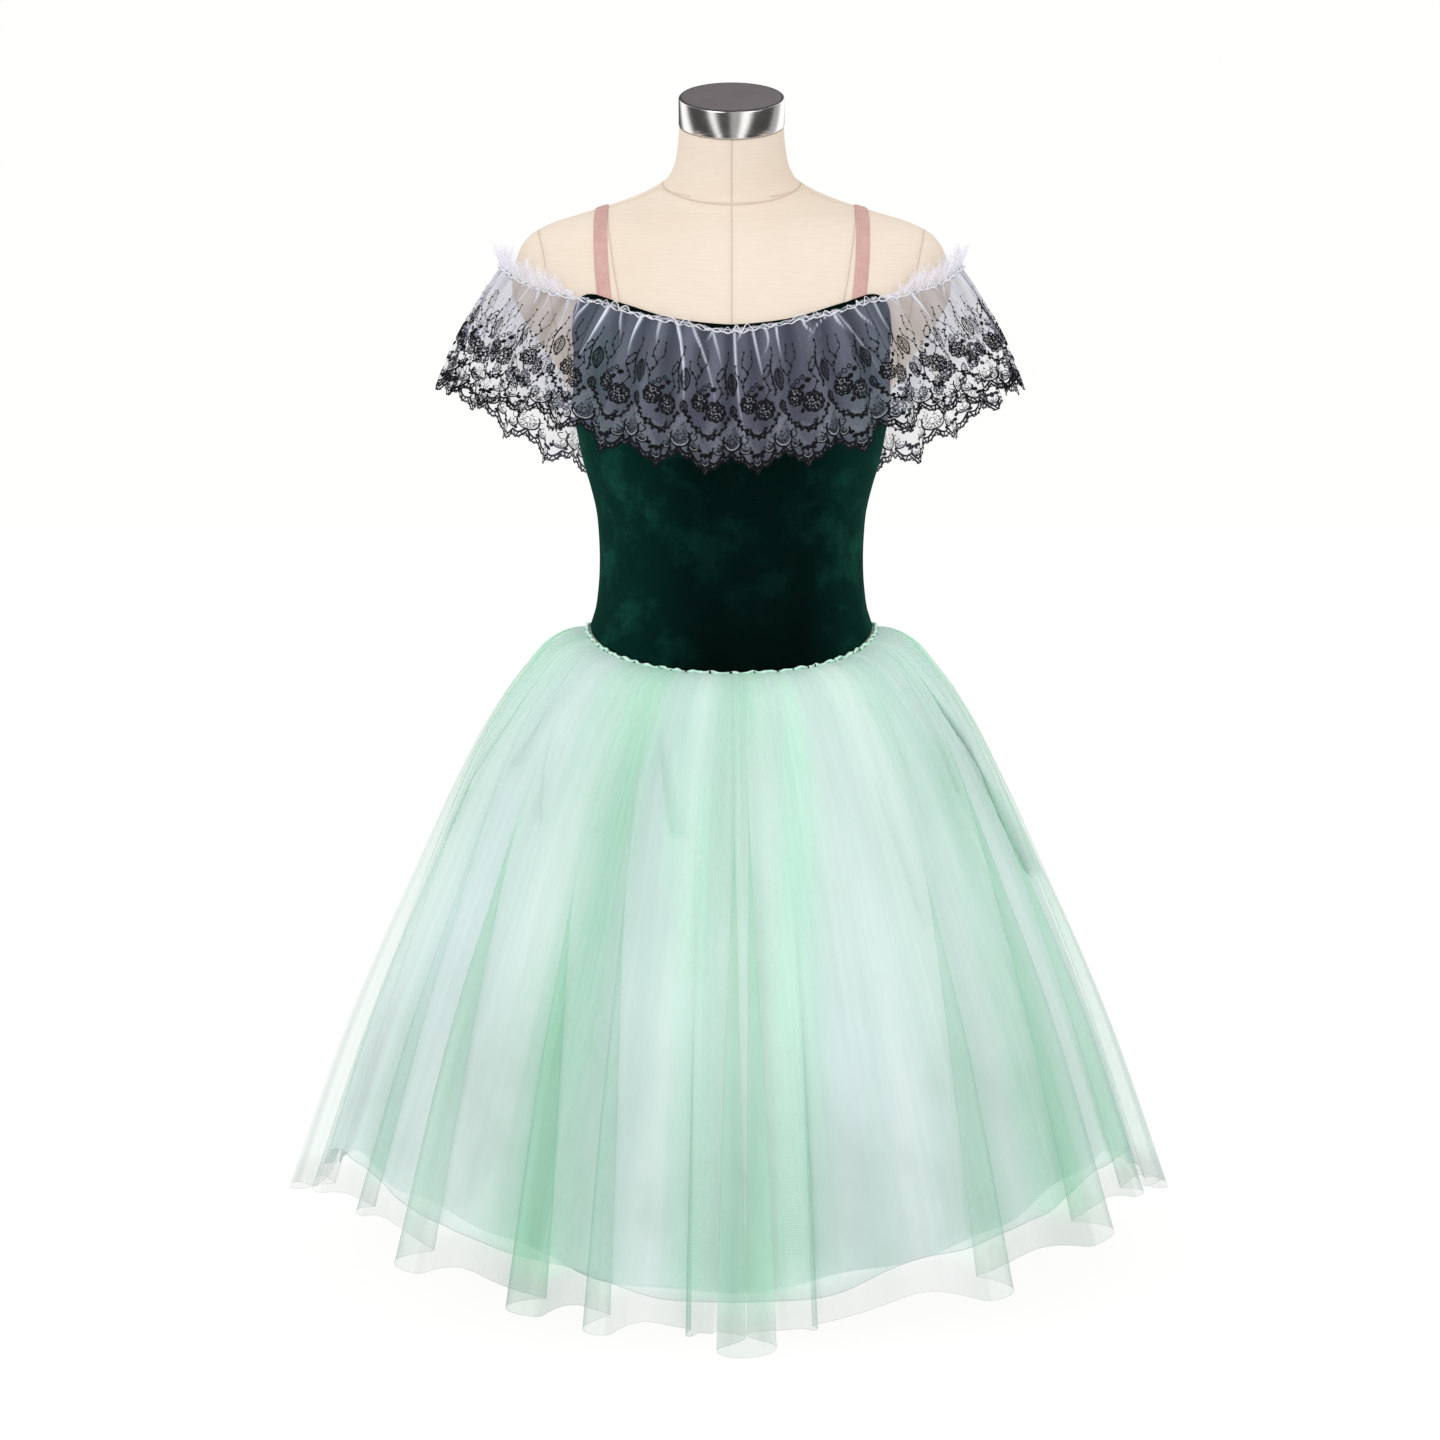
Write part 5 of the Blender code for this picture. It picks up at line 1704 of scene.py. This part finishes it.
def build_over_skirt(look):
    """The mint overskirt, from the gathers at the waist to the folds of its hem."""
    hem = over_hem()
    share = np.linspace(0.0, 1.0, OVER_ROWS - 2) ** 1.25
    share = np.concatenate([share[:-1], [0.9965, 1.0]])[:, None]
    grown = smooth_step(0.03, 1.05, share)
    degrees = hem.waist + (hem.degrees - hem.waist) * grown
    ripple = np.sin(math.tau * hem.length / RIPPLE_SPACING + 2.0 * np.sin(hem.length * 5.0))
    shade = tuck_shade(degrees, share)
    move = (hem.out + 0.0028 * (0.5 + 0.5 * ripple)) * grown
    move = move + over_relief(hem.length, share) - 0.004 * shade
    lift = OVER_LIFT_TOP + (OVER_LIFT_HEM - OVER_LIFT_TOP) * share ** 0.45
    wavy = 0.0022 * np.sin(hem.length * 17.0) + 0.0014 * np.sin(hem.length * 41.0)
    sag = (hem.lower + wavy) * smooth_step(0.6, 1.0, share)
    points = skirt_point(degrees, share, lift, move, sag)
    thick, green, bright = band_values(degrees, share)
    values = {
        "turn": hem.turn * smooth_step(0.30, 0.85, share),
        "ply": hem.plies * smooth_step(0.30, 0.80, share),
        # low: painted shade in the net's lowest strip.
        "low": smooth_step(0.925, 0.955, share),
        "thick": thick,
        "green": green,
        "bright": bright,
        "shade": shade,
        "hem": share > 0.999,
    }
    cut = flat_lines(hem.length, share[:, 0] * NET_LENGTH)
    mesh = grid_mesh("over_net", points, closed=True, flat=cut, **values)
    made = make_object("over_net", mesh, look, "skirt_over")


def build_inner_skirt(layer, look):
    """A white net layer, with small gathers at the waist and soft waves at its hem."""
    degrees = np.arange(INNER_COLUMNS)[None, :] * 360.0 / INNER_COLUMNS
    row = np.concatenate([np.linspace(0.0, 1.0, INNER_ROWS - 1)[:-1], [0.998, 1.0]])[:, None]
    share = row * (1.0 - (1.0 - layer.length) * row)
    turn = np.radians(degrees)
    wander = 0.35 * np.sin(3 * turn + layer.seed) + 0.25 * np.sin(5 * turn + 2 * layer.seed)
    wave = 0.5 - 0.5 * np.cos(turn * layer.waves + wander * 4.0)
    fine = 0.5 - 0.5 * np.cos(turn * layer.waves * 3 + 5.0 * wander)
    move = layer.wave_hem * share * (0.75 * wave + 0.25 * fine)
    gathers = np.cos(turn * INNER_GATHERS + 3.0 * wander)
    move = move + 0.0009 * gathers * swell(0.0, 0.05, 0.1, 0.4, share)
    lift = layer.lift_top + (layer.lift_hem - layer.lift_top) * share ** 0.5
    hem = 0.0035 * np.sin(turn * 9 + layer.seed) + 0.0024 * np.sin(turn * 21 + 2.2 * layer.seed)
    points = skirt_point(degrees, share, lift, move, hem * smooth_step(0.8, 1.0, row))
    # low: painted shade towards the hem.
    values = {"hem": row > 0.999, "low": smooth_step(0.50, 0.90, share)}
    name = layer.name.replace("skirt_", "") + "_net"
    cut = flat_lines(turn[0] * INNER_CUT_RADIUS, share[:, 0] * NET_LENGTH)
    mesh = grid_mesh(name, points, closed=True, flat=cut, **values)
    made = make_object(name, mesh, look, layer.name)


def build_waist_bead(look):
    """The net's gathered edge: a crumpled bead over the velvet's edge."""
    angle = np.linspace(0.0, math.tau, WAIST_STEPS, endpoint=False)
    bead = 0.5 + 0.5 * np.sin(angle * 96 + 2.4 * np.sin(angle * 13) + 1.2 * np.sin(angle * 29))
    bead = bead * (0.72 + 0.28 * np.sin(angle * 37))
    z = waist_z(angle) - 0.0008 + 0.0007 * np.sin(angle * 61) + 0.0004 * np.sin(angle * 23)
    line = off_form(z, angle, 0.0050 + 0.0008 * bead)
    mesh = cord_mesh("waist_bead", line, 0.0010 + 0.0009 * bead)
    make_object("waist_bead", mesh, look)


def build_waist_stitches(look):
    """Short dark stitches across the gathered edge."""
    points = []
    for number in range(WAIST_STITCHES):
        place = (number + RNG.uniform(0.1, 0.9)) * math.tau / WAIST_STITCHES
        long, wide = RNG.uniform(0.0012, 0.0032), RNG.uniform(0.005, 0.013)
        top = waist_z(np.array([place]))[0] + RNG.uniform(-0.0006, 0.0012)
        around = np.array([place, place + wide, place + wide * 0.8, place - wide * 0.2])
        z = np.array([top, top, top - long, top - long])
        points.append(off_form(z, around, STITCH_LIFT))
    faces = np.arange(4 * WAIST_STITCHES).reshape(-1, 4)
    mesh = new_mesh("waist_stitches", np.vstack(points), faces)
    make_object("waist_stitches", mesh, look)


# Camera, light and floor

def build_camera():
    data = bpy.data.cameras.new("camera")
    data.lens = CAMERA_LENS
    data.sensor_width = 36.0
    camera = add_object("camera", data)
    rise = math.radians(CAMERA_RISE_DEG)
    away = Vector((0.0, -math.cos(rise), math.sin(rise)))
    camera.location = CAMERA_TARGET + away * CAMERA_DISTANCE
    camera.rotation_euler = (math.pi / 2 - rise, 0.0, 0.0)
    bpy.context.scene.camera = camera


def area_light(name, location, target, size, energy):
    """A soft rectangular lamp."""
    data = bpy.data.lights.new(name, "AREA")
    data.shape = "RECTANGLE"
    data.size, data.size_y = size
    data.energy = energy
    lamp = add_object(name, data)
    lamp.location = location
    away = Vector(target) - lamp.location
    lamp.rotation_euler = away.to_track_quat("-Z", "Y").to_euler()


STUDIO_WHITE = (1.0, 1.0, 0.985, 1)
FLOOR_REACH = 14.0

# What polished metal sees round the studio: soft boxes by direction, 0 towards the camera,
# and the dark between them
SoftBox = namedtuple("SoftBox", "centre_deg half_deg strength")
SOFT_BOXES = [
    SoftBox(-128.0, 17.0, 1.30),
    SoftBox(-45.0, 9.0, 1.25),
    SoftBox(6.0, 10.0, 0.42),
    SoftBox(33.0, 13.0, 1.35),
    SoftBox(112.0, 9.0, 0.40),
    SoftBox(146.0, 22.0, 1.35),
]
BETWEEN_BOXES = 0.07


def build_world():
    """An even white studio. Only glossy rays see the soft boxes and the dark between them."""
    world = bpy.data.worlds.new("studio")
    world.use_nodes = True
    bpy.context.scene.world = world
    sky = Nodes(world.node_tree, "Background")
    direction = sky.node("TexCoord").outputs["Generated"]
    parts = sky.node("SeparateXYZ", {0: direction}).outputs
    turn = sky.math("ARCTAN2", parts[0], sky.mul(parts[1], -1.0))
    total = BETWEEN_BOXES
    for box in SOFT_BOXES:
        away = sky.math("ABSOLUTE", sky.math("SUBTRACT", turn, math.radians(box.centre_deg)))
        near = sky.math("DIVIDE", away, math.radians(box.half_deg))
        fade = sky.mul(sky.math("POWER", near, 4.0), -1.0)
        total = sky.mul_add(sky.math("POWER", 2.718, fade), box.strength, total)
    glossy = sky.node("LightPath").outputs["Is Glossy Ray"]
    seen = sky.mul(glossy, sky.math("SUBTRACT", total, 1.0))
    sky.put("Color", STUDIO_WHITE)
    sky.put("Strength", sky.add(seen, 1.0))


def build_floor():
    """A wide white floor, which keeps the picture even behind and below the object."""
    corners = FLOOR_REACH * np.array([(-1, -1, 0), (1, -1, 0), (1, 1, 0), (-1, 1, 0)])
    mesh = new_mesh("floor", corners, np.arange(4)[None, :])
    look = Look("floor", Roughness=0.9, Specular_IOR_Level=0.0, Emission_Strength=0.92)
    look.put("Base Color", (0.10, 0.10, 0.10, 1))
    look.put("Emission Color", STUDIO_WHITE)
    mesh.materials.append(look.material)
    floor = add_object("floor", mesh)
    floor.visible_glossy = False


def build_studio():
    build_camera()
    build_world()
    build_floor()
    area_light("key", (-1.6, -2.6, 2.4), (0, 0, 0.6), (1.6, 1.6), 26.0)
    area_light("fill", (2.4, -2.2, 1.4), (0, 0, 0.5), (1.6, 1.6), 10.0)
    scene = bpy.context.scene
    scene.view_settings.view_transform = "Standard"
    scene.cycles.transparent_max_bounces = 48


def main():
    build_studio()
    steel = steel_look()
    for name in ("stand_foot", "stand_pole"):
        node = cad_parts[name]
        node.data.materials.clear()
        node.data.materials.append(steel)
    form = build_form(canvas_look())
    build_cap(steel, cap_top_look(), gap_shade_rim_look())
    velvet = velvet_look()
    front = build_bodice("bodice_front", 0.0, velvet)
    back = build_bodice("bodice_back", math.pi, velvet)
    elastic = elastic_look()
    surface = BVHTree.FromObject(form, bpy.context.evaluated_depsgraph_get())
    for name, side in (("strap_left", 1.0), ("strap_right", -1.0)):
        band = build_strap(name, side, elastic, surface)
    black = black_thread_look()
    build_ruffle(lace_net_look(), frill_look(), white_thread_look(), black, pale_thread_look())
    under = inner_net_look("under_net", 0.93, 0.97)
    middle = inner_net_look("middle_net", 0.42, 0.60)
    build_inner_skirt(INNER_LAYERS[0], under)
    build_inner_skirt(INNER_LAYERS[1], middle)
    build_over_skirt(over_net_look())
    build_waist_bead(gathered_edge_look())
    build_waist_stitches(velvet)


main()
